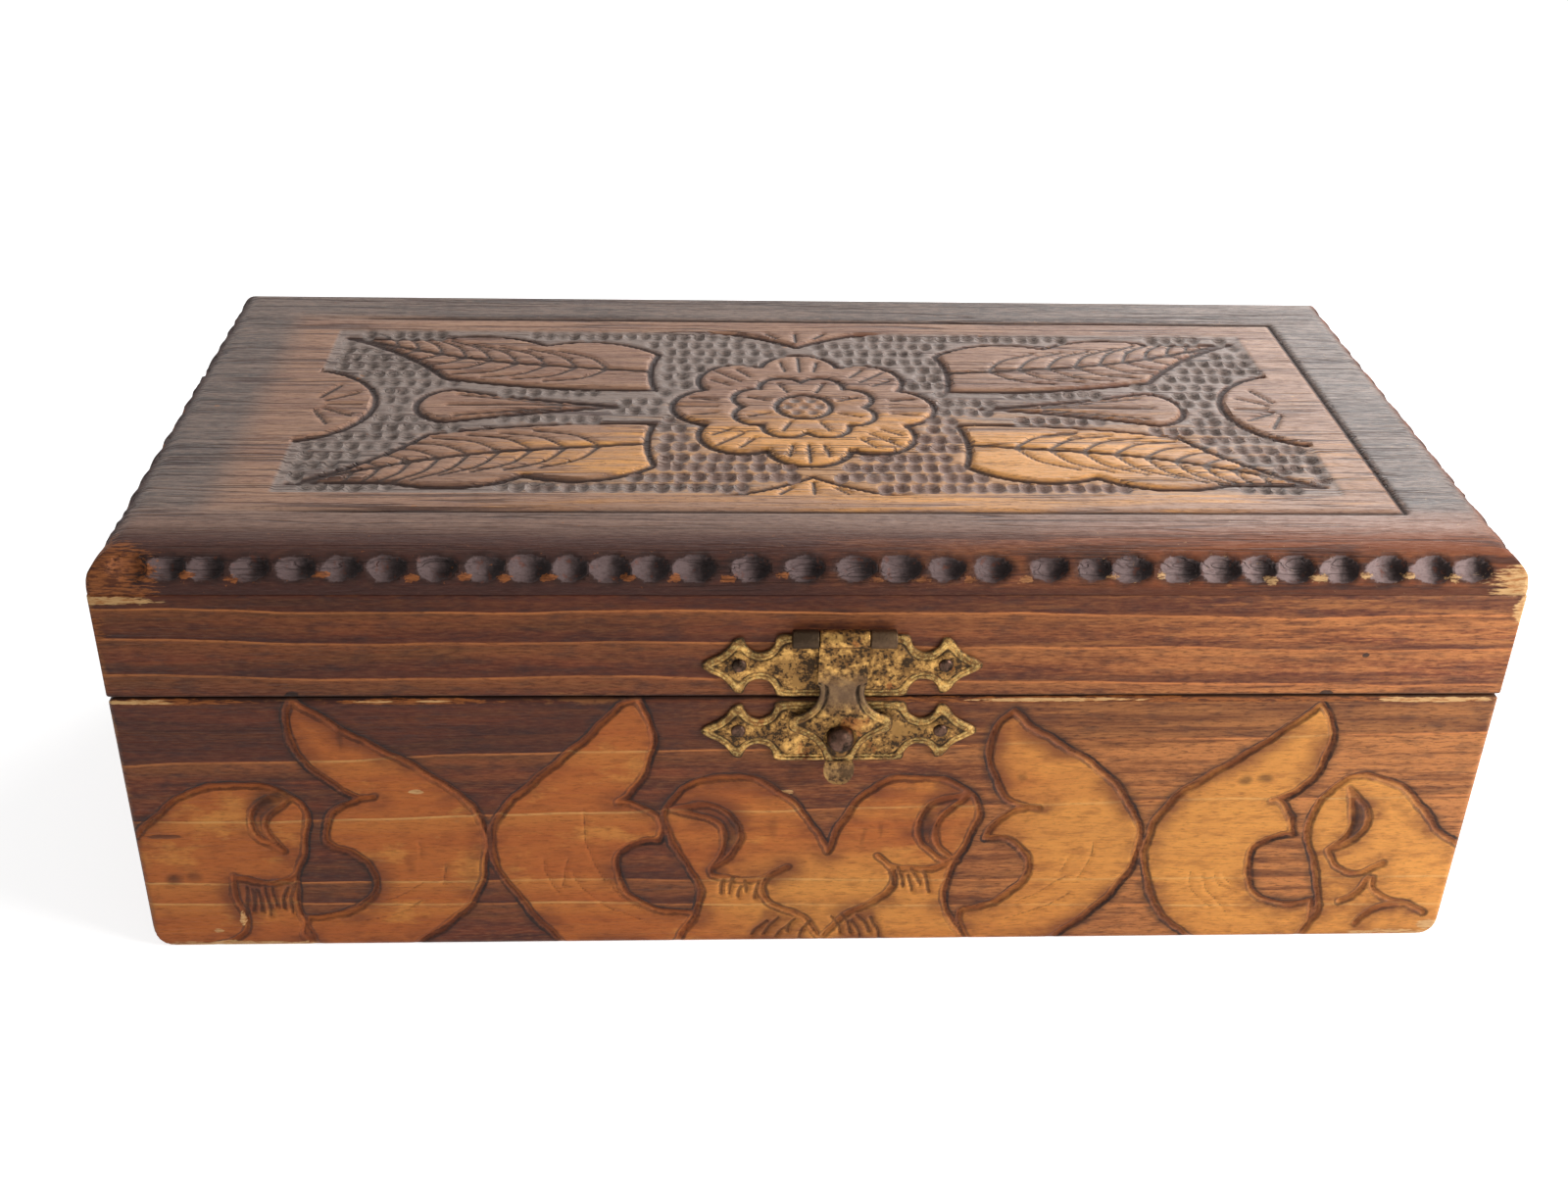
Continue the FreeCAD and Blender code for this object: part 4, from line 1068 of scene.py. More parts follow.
STIPPLE_PITCH = np.array([3.3, 4.7])
STIPPLE_SIZE = np.array([2.0, 2.7])
STIPPLE_SWELL = (0.9, 1.05)
STIPPLE_DEPTH = (0.9, 1.25)
STIPPLE_LEAN = (0.15, 0.4)
STIPPLE_SLIP = 0.35
STIPPLE_CLEAR = 1.4
SEED_RING = 3.6
SEED_SIZE = np.array([1.5, 1.5])
SEED_DEPTH = 0.6
PANEL_SPILL = 0.3
DESIGN_CLEAR = 0.4
GROUND_SLOPE = 0.8
CUT_FAINTNESS = 0.3
BORDER_FAINTNESS = 0.15
BORDER_RUBBED = 0.9
# Half width and depth of the grooves
DESIGN_GROOVE = (1.2, 0.95)
LINE_GROOVE = (1.0, 0.7)
CUT_GROOVE = (0.85, 0.5)
BORDER_GROOVE = (0.9, 0.7)
PETALS = 8
PETAL_STEP = 2 * math.pi / PETALS


def bowed(corners, steps=12):
    """A closed outline whose edges bow out to the right of their way by each corner's bulge."""
    line = []
    for (x, y, bulge), following in zip(corners, corners[1:] + corners[:1]):
        start = np.array([x, y])
        if not bulge:
            line.append(start)
            continue
        run = np.array(following[:2]) - start
        chord = np.linalg.norm(run)
        right = np.array([run[1], -run[0]]) / chord
        radius = (chord ** 2 / 4 + bulge ** 2) / (2 * abs(bulge))
        half = math.asin(chord / 2 / radius)
        side = math.copysign(1, bulge)
        centre = start + run / 2 + right * (bulge - side * radius)
        for turn in np.linspace(-half, half, steps, endpoint=False):
            line.append(centre + radius * (side * right * math.cos(turn) + run / chord * math.sin(turn)))
    return np.array(line + line[:1])


def petal_ring(valley, bulge, turn):
    """A closed ring of rounded petals about the middle."""
    angles = [(index + turn) * PETAL_STEP for index in range(PETALS)]
    return bowed([(valley * math.cos(angle), valley * math.sin(angle), bulge) for angle in angles])


PANEL_END, PANEL_SIDE = PANEL_HALF


def from_end(*points):
    """Points given by how far they lie in from the panel's end, and the rest as it is."""
    return [(PANEL_END - inward, *rest) for inward, *rest in points]


LEAF = bowed(from_end((77.0, 9.0, 2.0), (28.5, 15.0, -2.2), (3.0, 38.5, -0.6), (24.5, 38.0, 3.5),
                      (50.5, 34.5, 4.5), (77.5, 29.5, -1.5)))
LEAF_RIB = flowing(from_end((75, 19.3), (58, 21.5), (42, 24.0), (28, 28.0), (15, 33.2), (7, 37.0)))
BUD = bowed(from_end((70.5, 0, -0.8), (31.5, -8.5, 7.5), (31.5, 8.5, -0.8)))
BUD_CUTS = [flowing(from_end(*points)) for points in (
    [(64, 0), (48, 0.4), (31, 0)],
    [(56, 0.8), (45, 3.0), (33, 5.4)],
    [(56, -0.8), (45, -3.0), (33, -5.4)])]
FAN = bowed(from_end((-2, -19, 0), (-2, 19, 17)))
CROWN = bowed([(-27, PANEL_SIDE + 2, -2), (0, PANEL_SIDE - 8.5, -2), (27, PANEL_SIDE + 2, 0)])
CROWN_CUTS = [flowing([(0, PANEL_SIDE - 0.5), (0, PANEL_SIDE - 5.5)]),
              flowing([(-7, PANEL_SIDE - 0.5), (-4.5, PANEL_SIDE - 3.2)]),
              flowing([(7, PANEL_SIDE - 0.5), (4.5, PANEL_SIDE - 3.2)])]
FOUR_WAYS = [np.array([end, side]) for end in (1, -1) for side in (1, -1)]


def leaf_cuts():
    """Curved cuts that leave a leaf's rib on both sides and sweep towards its tip."""
    cuts = []
    for index in range(4, len(LEAF_RIB) - 5, 3):
        ahead = LEAF_RIB[index + 1] - LEAF_RIB[index - 1]
        ahead = ahead / np.linalg.norm(ahead)
        left = np.array([-ahead[1], ahead[0]])
        length = 13.5 - 17 * max(0, index / len(LEAF_RIB) - 0.45)
        for side in (-1, 1):
            bend = LEAF_RIB[index] + length * (0.34 * ahead + 0.44 * side * left)
            end = LEAF_RIB[index] + length * (0.95 * ahead + 0.66 * side * left)
            cuts.append(flowing([LEAF_RIB[index] + 0.8 * side * left, bend, end]))
    return cuts


def petal_cuts():
    """Rays on the rosette's petals, three on each outer one and one on each inner one."""
    cuts = []
    for index in range(PETALS):
        angle = index * PETAL_STEP
        rays = [(0.5 * PETAL_STEP, 8.5, 13.5), (0, 19.5, 28), (-0.17, 20, 25.5), (0.17, 20, 25.5)]
        for lean, start, end in rays:
            ray = np.array([math.cos(angle + lean), math.sin(angle + lean)])
            cuts.append(np.array([ray * start, ray * end]))
    return cuts


def fan_cuts():
    """Rays of the half-round fan at the panel's end."""
    cuts = []
    for angle in np.radians((-62, -31, 0, 31, 62)):
        ray = np.array([-math.cos(angle), math.sin(angle)])
        cuts.append(np.array([PANEL_END - 0.5, 0]) + np.array([ray * 4, ray * 11.5]))
    return cuts


def lid_design():
    """The lid's rosette between mirrored leaves and buds: its outlines, its lines and its fine cuts."""
    shapes = [petal_ring(24.0, 7.5, 0.5)]
    lines = [petal_ring(13.5, 4.2, 0.0), petal_ring(6.2, 0.47, 0.0)]
    cuts = petal_cuts()
    for way in FOUR_WAYS:
        shapes.append(LEAF * way)
        lines.append(LEAF_RIB * way)
        cuts += [cut * way for cut in leaf_cuts()]
    for end in (1, -1):
        along = np.array([end, 1])
        shapes += [BUD * along, FAN * along, CROWN * np.array([1, end])]
        cuts += [cut * along for cut in BUD_CUTS + fan_cuts()]
        cuts += [cut * np.array([1, end]) for cut in CROWN_CUTS]
    return shapes, lines, cuts


def rectangle(half):
    x, y = half
    return np.array([(-x, -y), (x, -y), (x, y), (-x, y), (-x, -y)], float)


def edge_dents(sheet, chance):
    """Gouges along the rolled edge at the front and both ends, and the chips broken off between them."""
    line = LID_HALF - LID_ROLL + LID_ROLL * DENT_TURN
    dents = [((x, -line[1]), (0, -1), (1, 0)) for x in FRONT_DENTS]
    for y in np.arange(-7, 8) * DENT_PITCH:
        shift = chance.uniform(-DENT_SLIP, DENT_SLIP)
        dents += [((-line[0], y + shift), (-1, 0), (0, -1)), ((line[0], y - shift), (1, 0), (0, 1))]
    depth, chip, shade_side, halo = np.zeros((4, len(sheet.arc)))
    rough = sheet.arc + DENT_WANDER * hand_wander(1.4 * sheet.arc)
    for place, outward, along in np.array(dents, float):
        swell = chance.uniform(*DENT_SWELL)
        size = np.abs(along) * DENT_SIZE[0] * swell + np.abs(outward) * DENT_SIZE[1] * swell
        bowl = sheet.pit(rough, place, size, chance.uniform(*DENT_DEPTH), DENT_LEAN * along)
        # Where each point lies along its dent towards the steep side, which gets painted shade.
        shade_side = np.where(bowl > depth, (sheet.arc - place) @ along / DENT_SIZE[0], shade_side)
        depth = np.maximum(depth, bowl)
        halo = np.maximum(halo, DENT_HALO - np.linalg.norm((rough - place) / size, axis=1))
        spot = place - along * chance.uniform(*CHIP_BEHIND) + outward * chance.uniform(*CHIP_OUTWARD)
        broken = np.abs(along) * chance.uniform(*CHIP_LONG) + np.abs(outward) * chance.uniform(*CHIP_WIDE)
        if chance.random() < CHIPPED:
            chip = np.maximum(chip, sheet.pit(sheet.arc, spot, broken, CHIP_DEPTH) / CHIP_DEPTH)
    return {"dent": depth, "chip": chip, "shade_side": shade_side, "halo": halo}


def stippling(sheet, ground, chance):
    """Rows of small pits over the ground of the panel, clear of the design, and seeds in the rosette."""
    counts = (2 * PANEL_HALF / STIPPLE_PITCH).astype(int)
    first = -(counts - 1) / 2 * STIPPLE_PITCH
    depth = np.zeros(len(sheet.spot))
    for row in range(counts[1]):
        for column in range(counts[0]):
            shift = np.array([chance.uniform(-STIPPLE_SLIP, STIPPLE_SLIP) for _ in range(2)])
            place = first + STIPPLE_PITCH * (column + 0.25 * (row % 2), row) + shift
            if ground[sheet.nearest(place)] < STIPPLE_CLEAR:
                continue
            size = STIPPLE_SIZE * chance.uniform(*STIPPLE_SWELL)
            pit = sheet.pit(sheet.spot, place, size, chance.uniform(*STIPPLE_DEPTH), STIPPLE_LEAN)
            depth = np.maximum(depth, pit)
    seeds = [np.zeros(2)]
    for angle in np.radians(np.arange(0, 360, 60)):
        seeds.append(SEED_RING * np.array([math.cos(angle), math.sin(angle)]))
    for place in seeds:
        depth = np.maximum(depth, sheet.pit(sheet.spot, place, SEED_SIZE, SEED_DEPTH))
    return depth


def carved_top(material):
    """The lid's top board: rolled edges with gouges, a border, a stippled ground and the design."""
    chance = random.Random(LID_SEED)
    middle = (TOP_LOW + TOP_HIGH) / 2
    above, below = LID_CORNER
    sheet = CarvedSheet(LID_HALF, LID_ROLL, LID_STEP, lambda up, rolled: above - (above - below) * rolled)
    shapes, lines, cuts = lid_design()
    ground = (PANEL_HALF - np.abs(sheet.spot)).min(axis=1)
    on_panel = ground > -PANEL_SPILL
    groove = np.minimum(sheet.cut(lines, *LINE_GROOVE), sheet.cut(cuts, *CUT_GROOVE) + CUT_FAINTNESS)
    for shape in shapes:
        away = sheet.groove(shape, *DESIGN_GROOVE, on_panel)
        groove = np.minimum(groove, away)
        ground = np.minimum(ground, -depth_in(sheet.spot, shape, away) - DESIGN_CLEAR)
    rubbed = np.clip((BORDER_FADE - BORDER_HALF[0] - sheet.spot[:, 0]) / BORDER_FADE, 0, 1)
    border_width, border_depth = BORDER_GROOVE
    border = sheet.groove(rectangle(BORDER_HALF), border_width, border_depth * (1 - rubbed))
    groove = np.minimum(groove, border + BORDER_FAINTNESS + BORDER_RUBBED * rubbed)
    sheet.sink = np.maximum(sheet.sink, GROUND_SINK * np.clip(ground / GROUND_SLOPE, 0, 1))
    pit = stippling(sheet, ground, chance)
    sheet.marks = {"groove": groove, "ground": ground, "pit": pit, **edge_dents(sheet, chance)}
    bm = sheet.settle((middle[0], middle[1], TOP_HIGH[2]), (1, 0, 0), (0, 1, 0), (0, 0, 1))
    skirt(bm, lambda co: Vector((co.x, co.y, TOP_LOW[2] * MM)))
    close_back(bm)
    make_piece(bm, "carved_top", "lid", "lid_top_board", material)


# Hasp and hinges

HASP_MIDDLE = np.mean(box_of("hasp_strap"), axis=0)
HASP_AXIS = np.mean(box_of("hasp_pin"), axis=0)
KNUCKLE = HASP_AXIS[1] - box_of("hasp_strap")[0][1]
CATCH_LOW, CATCH_HIGH = box_of("catch_plate")
PLATE_HALF = ((CATCH_HIGH - CATCH_LOW) / 2)[[0, 2]]
SHEET_THICK = 0.8
LOBE = PLATE_HALF[0] - 7.7
NOTCH = (PLATE_HALF[0] - 11.6, PLATE_HALF[1] - 1.1, 3.0)
SHOULDER = (PLATE_HALF[0] - 2.0, PLATE_HALF[1] - 1.4, 3.3)
STRAP_HALF = 4.9
SHIELD_HALF = 10.5
NECK = (SHIELD_HALF, -12.0, 6.1)
SCALLOP = (SHIELD_HALF, -28.7, 7.5)
TAB = (0.0, -30.0, 3.1)
EYE = (0.0, -22.6, 3.5)
PLATE_KNUCKLE = 5.2
KNUCKLE_GAP = 0.15
STRAP_PLAIN = -10.0
ROUNDING = 1.8
FULL_FIELD = 5.0
PRESSED_LINE = 1.4
SHEET_STEP = 0.3
SNAPS = 4
BARREL_EDGE = 0.3
SIDE_KNUCKLES_TOUCHED = (1.4, 1.7)
STAMPED_MARKS = ("inside", "handled")


def from_circle(x, y, circle):
    """Distance from a circle given by its middle and radius, negative inside it."""
    return np.hypot(x - circle[0], y - circle[1]) - circle[2]


def rounded_most(first, *others):
    """The largest of several distances, with the corners where they meet rubbed round."""
    largest = first
    for other in others:
        share = np.clip(0.5 + 0.5 * (largest - other) / ROUNDING, 0, 1)
        largest = other + (largest - other) * share + ROUNDING * share * (1 - share)
    return largest


def plate_distance(spots):
    """Distance from a hasp plate's edge, negative inside, about the plate's middle."""
    x, y = np.abs(spots).T
    slope = np.array([PLATE_HALF[1], PLATE_HALF[0] - LOBE])
    slope = slope / np.linalg.norm(slope)
    point = (x - PLATE_HALF[0]) * slope[0] + y * slope[1]
    return rounded_most(y - PLATE_HALF[1], point, -from_circle(x, y, NOTCH), -from_circle(x, y, SHOULDER))


def strap_outline(spots):
    """Distance from the edge of the strap's neck and shield, negative inside, from its knuckle down."""
    x, y = np.abs(spots[:, 0]), spots[:, 1]
    waist = -from_circle(x, y, NECK)
    side = np.where(y > NECK[1], np.maximum(x - STRAP_HALF, waist), rounded_most(x - SHIELD_HALF, waist))
    return np.maximum(rounded_most(side, SCALLOP[1] - y, -from_circle(x, y, SCALLOP)), y)


def strap_distance(spots):
    """Distance from the whole strap's edge, with its finger tab and its eye."""
    x, y = np.abs(spots[:, 0]), spots[:, 1]
    return np.maximum(np.minimum(strap_outline(spots), from_circle(x, y, TAB)), -from_circle(x, y, EYE))


def strap_field(spots):
    """How far inside the pressed rim each point lies, where the neck's top and the tab are left plain."""
    inside = np.clip(-strap_outline(spots), 0, None)
    plain = np.clip((spots[:, 1] - STRAP_PLAIN) / 2.5, 0, 1)
    plain = np.maximum(plain, np.clip((SCALLOP[1] + 0.6 - spots[:, 1]) / 1.2, 0, 1))
    return inside + (FULL_FIELD - inside) * plain


def pressed_relief(spots, inside):
    """How far a stamped sheet stands out: rolled rim, pressed line and slightly beaten field."""
    rim = -0.35 * np.clip(1 - inside / 0.6, 0, 1) ** 2
    line = -0.3 * np.exp(-((inside - PRESSED_LINE) / 0.3) ** 2)
    field = 0.2 * np.clip((inside - 1.5) / 0.9, 0, 1)
    x, y = spots.T
    beaten = 0.06 * np.sin(1.9 * x + 0.8 * y) * np.sin(1.5 * y - 0.6 * x)
    return rim + line + field + beaten


def catch_relief(spots, inside):
    """The catch plate's relief, with a row of pressed dots near its foot."""
    along = (spots[:, 0] + 0.65) % 1.3 - 0.65
    dots = 0.3 * np.exp(-(np.hypot(along, spots[:, 1] + PLATE_HALF[1] - 0.9) / 0.42) ** 2)
    return pressed_relief(spots, inside) + np.where(np.abs(spots[:, 0]) < NOTCH[0] - NOTCH[2], dots, 0)


def strap_relief(spots, inside):
    """The strap's relief: a domed shield and a finger tab that turns out."""
    shield = np.clip((NECK[1] - spots[:, 1]) / 6, 0, 1)
    dome = 0.5 * shield * np.clip(1 - (spots[:, 0] / SHIELD_HALF) ** 2, 0, 1)
    lifted = np.clip((SCALLOP[1] + 1.5 - spots[:, 1]) / 5, 0, 1)
    return pressed_relief(spots, inside) + dome + 0.7 * lifted ** 2


def strap_handled(spots):
    """How far fingers have rubbed the strap brown, most at its neck and at its tab."""
    neck = np.exp(-((spots[:, 1] - NECK[1]) / 4.5) ** 2)
    return np.maximum(neck, 0.6 * np.exp(-((spots[:, 1] - TAB[1] + 1) / 2.5) ** 2))


def pressed_sheet(distance, low, high, relief, origin, handled=None, field=None):
    """A thin sheet cut to an outline and pressed in relief, facing forward from its origin."""
    low, high = np.array(low), np.array(high)
    across, along = [int(count) for count in np.ceil((high - low) / SHEET_STEP)]
    bm = bmesh.new()
    for name in STAMPED_MARKS:
        bm.verts.layers.float.new(name)
    inside_layer, handled_layer = [bm.verts.layers.float[name] for name in STAMPED_MARKS]
    bmesh.ops.create_grid(bm, x_segments=across, y_segments=along, size=1)
    verts = list(bm.verts)
    spots = (low + high) / 2 + np.array([vert.co[:2] for vert in verts]) * (high - low) / 2
    outside = distance(spots) > 0
    bm.verts.index_update()
    spare = [face for face in bm.faces if all(outside[vert.index] for vert in face.verts)]
    bmesh.ops.delete(bm, geom=spare, context="FACES")
    tiny = 0.01
    for _ in range(SNAPS):
        away = np.clip(distance(spots), 0, None)
        slope = np.column_stack([distance(spots + shift) - distance(spots - shift)
                                 for shift in (np.array([tiny, 0]), np.array([0, tiny]))]) / (2 * tiny)
        spots = spots - slope * away[:, None]
    inside = field(spots) if field else np.clip(-distance(spots), 0, None)
    touched = handled(spots) if handled else np.zeros(len(spots))
    for vert, spot, out, depth, touch in zip(verts, spots, relief(spots, inside), inside, touched):
        if vert.is_valid:
            vert.co = Vector((origin[0] + spot[0], origin[1] - out, origin[2] + spot[1])) * MM
            vert[inside_layer] = depth
            vert[handled_layer] = touch
    bmesh.ops.solidify(bm, geom=bm.faces[:], thickness=SHEET_THICK * MM)
    return bm


def add_barrel(bm, start, end, touched=0.0):
    """A rolled knuckle on the hasp's axis, with softened ends, rubbed brown by a share."""
    place = Matrix.Translation(Vector((HASP_MIDDLE[0] + (start + end) / 2, *HASP_AXIS[1:])) * MM)
    turn = Matrix.Rotation(math.radians(90), 4, "Y")
    made = bmesh.ops.create_cone(bm, cap_ends=True, segments=36, radius1=KNUCKLE * MM, radius2=KNUCKLE * MM,
                                 depth=(end - start) * MM, matrix=place @ turn)
    inside_layer, handled_layer = [bm.verts.layers.float[name] for name in STAMPED_MARKS]
    for vert in made["verts"]:
        vert[inside_layer] = FULL_FIELD
        vert[handled_layer] = touched
    edges = {edge for vert in made["verts"] for edge in vert.link_edges}
    round_edges(bm, [edge for edge in edges if edge.calc_face_angle() > SHARP], BARREL_EDGE, 3)


def hasp_pieces(metal):
    """The plate on the lid, the plate on the base and the strap that hangs between them."""
    face = CATCH_LOW[1]
    plate_middle = np.mean(box_of("hasp_plate_pins"), axis=0)
    bm = pressed_sheet(plate_distance, -PLATE_HALF, PLATE_HALF, pressed_relief,
                       (HASP_MIDDLE[0], face, plate_middle[2]))
    inner = STRAP_HALF + KNUCKLE_GAP
    right_touched, left_touched = SIDE_KNUCKLES_TOUCHED
    add_barrel(bm, inner, inner + PLATE_KNUCKLE, right_touched)
    add_barrel(bm, -inner - PLATE_KNUCKLE, -inner, left_touched)
    make_piece(bm, "stamped_hasp_plate", "lid", "hasp_plate", metal)
    bm = pressed_sheet(plate_distance, -PLATE_HALF, PLATE_HALF, catch_relief,
                       (HASP_MIDDLE[0], face, (CATCH_LOW[2] + CATCH_HIGH[2]) / 2))
    make_piece(bm, "stamped_catch_plate", "base", "catch_plate", metal)
    bm = pressed_sheet(strap_distance, (-SHIELD_HALF, TAB[1] - TAB[2]), (SHIELD_HALF, 0), strap_relief,
                       (HASP_MIDDLE[0], HASP_AXIS[1] - SHEET_THICK / 2, HASP_AXIS[2]), strap_handled,
                       strap_field)
    add_barrel(bm, -STRAP_HALF, STRAP_HALF)
    make_piece(bm, "stamped_hasp_strap", "hasp", "hasp_strap", metal)


def dress_nodes(nodes, material):
    """Gives a finish to nodes whose shape is already right."""
    for node in nodes:
        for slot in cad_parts[node].material_slots:
            slot.material = material


# Stage, light and camera

CAMERA_PLACE = (-25.0, -366.0, 263.4)
CAMERA_PITCH = math.radians(30.43)
CAMERA_YAW = math.radians(3.41)
CAMERA_ROLL = math.radians(-1.76)
CAMERA_LENS = 40.9
SENSOR_WIDE = 36.0
FLOOR_GAP = 0.05
FLOOR_HALF_METRES = 4
FLOOR_GREYS = (0.80, 0.80, 0.80, 1), (0.82, 0.82, 0.82, 1)
FLOOR_GLOW = 0.76
WORLD_GLOW = 0.27
# Name, place and aim in metres, size in metres and power in watts
LAMPS = (("key_lamp", (0.6, -0.3, 0.32), (0.04, -0.07, 0.06), 0.3, 4.0),
         ("back_lamp", (0.45, 0.7, 0.55), (0, 0, 0.09), 0.5, 5.0))


def make_camera():
    """Sets the camera where the picture was taken from."""
    level = math.cos(CAMERA_PITCH)
    ahead = Vector((math.sin(CAMERA_YAW) * level, math.cos(CAMERA_YAW) * level, -math.sin(CAMERA_PITCH)))
    right = Vector((math.cos(CAMERA_YAW), -math.sin(CAMERA_YAW), 0))
    down = ahead.cross(right)
    across = math.cos(CAMERA_ROLL) * right + math.sin(CAMERA_ROLL) * down
    up = math.sin(CAMERA_ROLL) * right - math.cos(CAMERA_ROLL) * down
    data = bpy.data.cameras.new("camera")
    data.sensor_fit = "HORIZONTAL"
    data.sensor_width = SENSOR_WIDE
    data.lens = CAMERA_LENS
    data.clip_start = 0.01
    camera = new_object("camera", data)
    turn = Matrix((across, up, -ahead)).transposed().to_4x4()
    camera.matrix_world = Matrix.Translation(Vector(CAMERA_PLACE) * MM) @ turn
    bpy.context.scene.camera = camera


def seen_in_shine(nodes):
    """Masks of what is seen straight, and of what is seen in a shiny surface or through a clear one."""
    path = nodes.add("ShaderNodeLightPath").outputs
    return path["Is Camera Ray"], nodes.most(path["Is Glossy Ray"], path["Is Transmission Ray"])


def make_floor():
    """A wide white floor that keeps the soft shadow."""
    material = bpy.data.materials.new("studio_floor")
    material.use_nodes = True
    nodes = Nodes(material.node_tree)
    nodes.tree.nodes.remove(nodes.tree.nodes["Principled BSDF"])
    colour = nodes.mix(nodes.noise(nodes.on_part(), (0.02, 0.02), 2), *FLOOR_GREYS)
    diffuse = nodes.add("ShaderNodeBsdfDiffuse", {"Color": colour}).outputs[0]
    share = nodes.times(nodes.most(*seen_in_shine(nodes)), FLOOR_GLOW)
    glow = nodes.add("ShaderNodeEmission", {"Color": (1, 1, 1, 1), "Strength": share}).outputs[0]
    both = nodes.add("ShaderNodeAddShader", {0: diffuse, 1: glow}).outputs[0]
    below = nodes.add("ShaderNodeNewGeometry").outputs["Backfacing"]
    clear = nodes.add("ShaderNodeBsdfTransparent").outputs[0]
    one_sided = nodes.add("ShaderNodeMixShader", {0: below, 1: both, 2: clear}).outputs[0]
    nodes.give(nodes.tree.nodes["Material Output"].inputs, {"Surface": one_sided})
    bm = bmesh.new()
    under = Matrix.Translation((0, 0, -FLOOR_GAP * MM))
    bmesh.ops.create_grid(bm, x_segments=1, y_segments=1, size=FLOOR_HALF_METRES, matrix=under)
    mesh = bpy.data.meshes.new("floor")
    bm.to_mesh(mesh)
    bm.free()
    mesh.materials.append(material)
    new_object("floor", mesh)


def make_world():
    """A white surround to look at, darker on the near side, with a dimmer glow that lights the box."""
    world = bpy.data.worlds.new("studio")
    world.use_nodes = True
    bpy.context.scene.world = world
    nodes = Nodes(world.node_tree)
    background = nodes.tree.nodes["Background"]
    background.inputs["Color"].default_value = (1, 1, 1, 1)
    camera, shine = seen_in_shine(nodes)
    heading = nodes.parts(nodes.add("ShaderNodeTexCoord").outputs["Generated"])
    room = nodes.fade(heading[1], -0.5, 0.3, 0.45, 1.0)
    nodes.give(background.inputs, {"Strength": nodes.most(camera, nodes.times(shine, room), WORLD_GLOW)})


def soft_lamp(name, place, aim, size, power):
    """A large soft lamp, in metres and watts."""
    data = bpy.data.lights.new(name, "AREA")
    data.shape = "DISK"
    data.size = size
    data.energy = power
    lamp = new_object(name, data)
    lamp.location = place
    lamp.rotation_euler = (Vector(aim) - Vector(place)).to_track_quat("-Z", "Y").to_euler()


# Build

FRONT_FACE = -70


def on_front(*patches):
    """Patches on the front face, each given by its middle across and up, and by its size."""
    return tuple(((across, FRONT_FACE, up), size) for across, up, size in patches)


LID_WORN = on_front((-140, 92.5, (13, 12, 4.4)), (-138, 88.4, (11, 5, 1.6)), (-141, 80, (3.4, 4, 2.8)))
LID_FRESH = (((-138, FRONT_FACE - 0.5, 86.6), (12, 4, 1.0)),
             *on_front((141, 90.5, (9, 6, 3.6)), (141, 85, (3, 5, 4.5))))
LID_BURNT = on_front((-104, 65, (1.3, 3, 0.9)), (103.6, 65, (1.4, 3, 0.7)), (110, 74, (0.6, 3, 0.45)))
FRONT_WORN = on_front((-129, 63.2, (14, 3, 0.55)), (-80, 63.2, (14, 3, 0.5)), (62, 63.3, (60, 3, 0.55)),
                      (-134, 30, (5, 3, 0.7)))
FRONT_FRESH = on_front(
    (-134, 63.2, (7, 3, 0.4)), (-88, 63.3, (3, 3, 0.2)), (-76, 63.3, (3, 3, 0.14)), (48, 63.3, (18, 3, 0.3)),
    (128, 63.2, (12, 3, 0.45)), (-122, 0.2, (16, 4, 1.3)), (-120.5, 7.6, (0.6, 3, 1.5)),
    (-126, 4.6, (1.0, 3, 0.5)), (-5.4, 40.6, (1.5, 3, 0.7)), (-7.5, 51, (0.4, 3, 1.2)),
    (-81.5, 41.2, (1.5, 3, 0.6)), (130, 0.8, (9, 4, 1.4)), (137.5, 3.2, (2.4, 4, 1.6)))

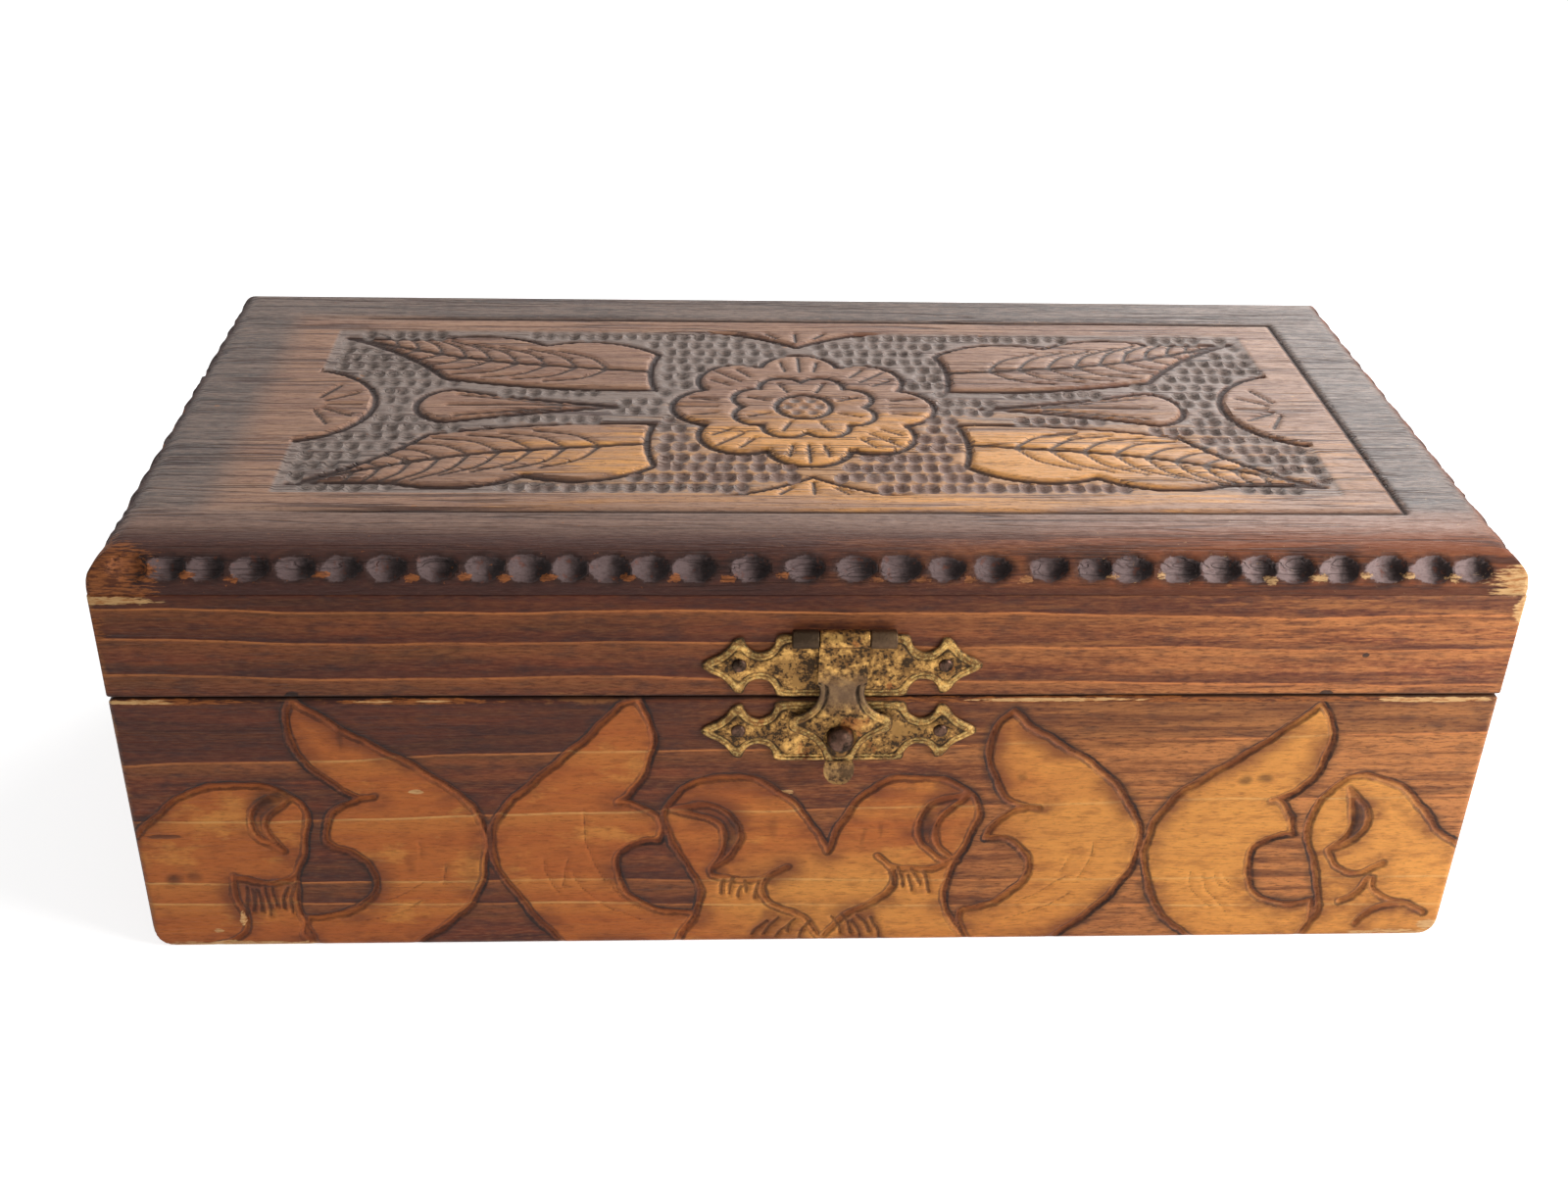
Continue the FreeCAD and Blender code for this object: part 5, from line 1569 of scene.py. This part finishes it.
base_long = stained_wood("base_long_stain", BASE_BOX, "X", FRIEZE_GROWTH)
base_end = stained_wood("base_end_stain", BASE_BOX, "Y", FRIEZE_GROWTH)
lid_front = stained_wood("lid_front_stain", LID_BOX, "X", RAIL_GROWTH, LID_WORN, LID_FRESH, LID_BURNT)
lid_long = stained_wood("lid_long_stain", LID_BOX, "X", RAIL_GROWTH)
lid_end = stained_wood("lid_end_stain", LID_BOX, "Y", RAIL_GROWTH, LID_WORN, LID_FRESH)
stamped_brass = aged_brass("stamped_brass", BRASS, BRASS_BROWN, BRASS_DARK, 0.63, stamped=True)
plain_brass = aged_brass("plain_brass", BRASS, BRASS_BROWN, BRASS_DARK, 0.62)
dark_brass = aged_brass("dark_brass", PIN_METAL, BRASS_DARK, BURNT, 0.7)
brad_steel = aged_brass("brad_steel", STEEL, RUST, BURNT, 0.62)

carved_front(carved_front_wood(FRIEZE_GROWTH, FRONT_WORN, FRONT_FRESH))
carved_top(carved_top_wood(BORDER_HALF, LID_WORN, LID_FRESH))
worn_board("base_back_board", "base", base_long, BASE_EDGE)
for board in ("base_left_board", "base_right_board"):
    worn_board(board, "base", base_end, BASE_EDGE, END_FOOT)
worn_board("lid_front_rail", "lid", lid_front, LID_EDGE)
worn_board("lid_back_rail", "lid", lid_long, LID_EDGE)
for board in ("lid_left_rail", "lid_right_rail"):
    worn_board(board, "lid", lid_end, LID_EDGE)
worn_board("bottom_board", "base", bare_board(), BOTTOM_EDGE)
hasp_pieces(stamped_brass)
dress_nodes(("hinge_left_base_leaf", "hinge_right_base_leaf", "hinge_left_lid_leaf", "hinge_right_lid_leaf",
             "hinge_left_pin", "hinge_right_pin", "hasp_pin"), plain_brass)
dress_nodes(("catch_stud", "catch_plate_pins", "hasp_plate_pins", "hinge_base_nails", "hinge_lid_nails"),
            dark_brass)
dress_nodes(("bottom_brads",), brad_steel)

make_camera()
make_floor()
make_world()
for lamp in LAMPS:
    soft_lamp(*lamp)
bpy.context.scene.view_settings.view_transform = "Standard"
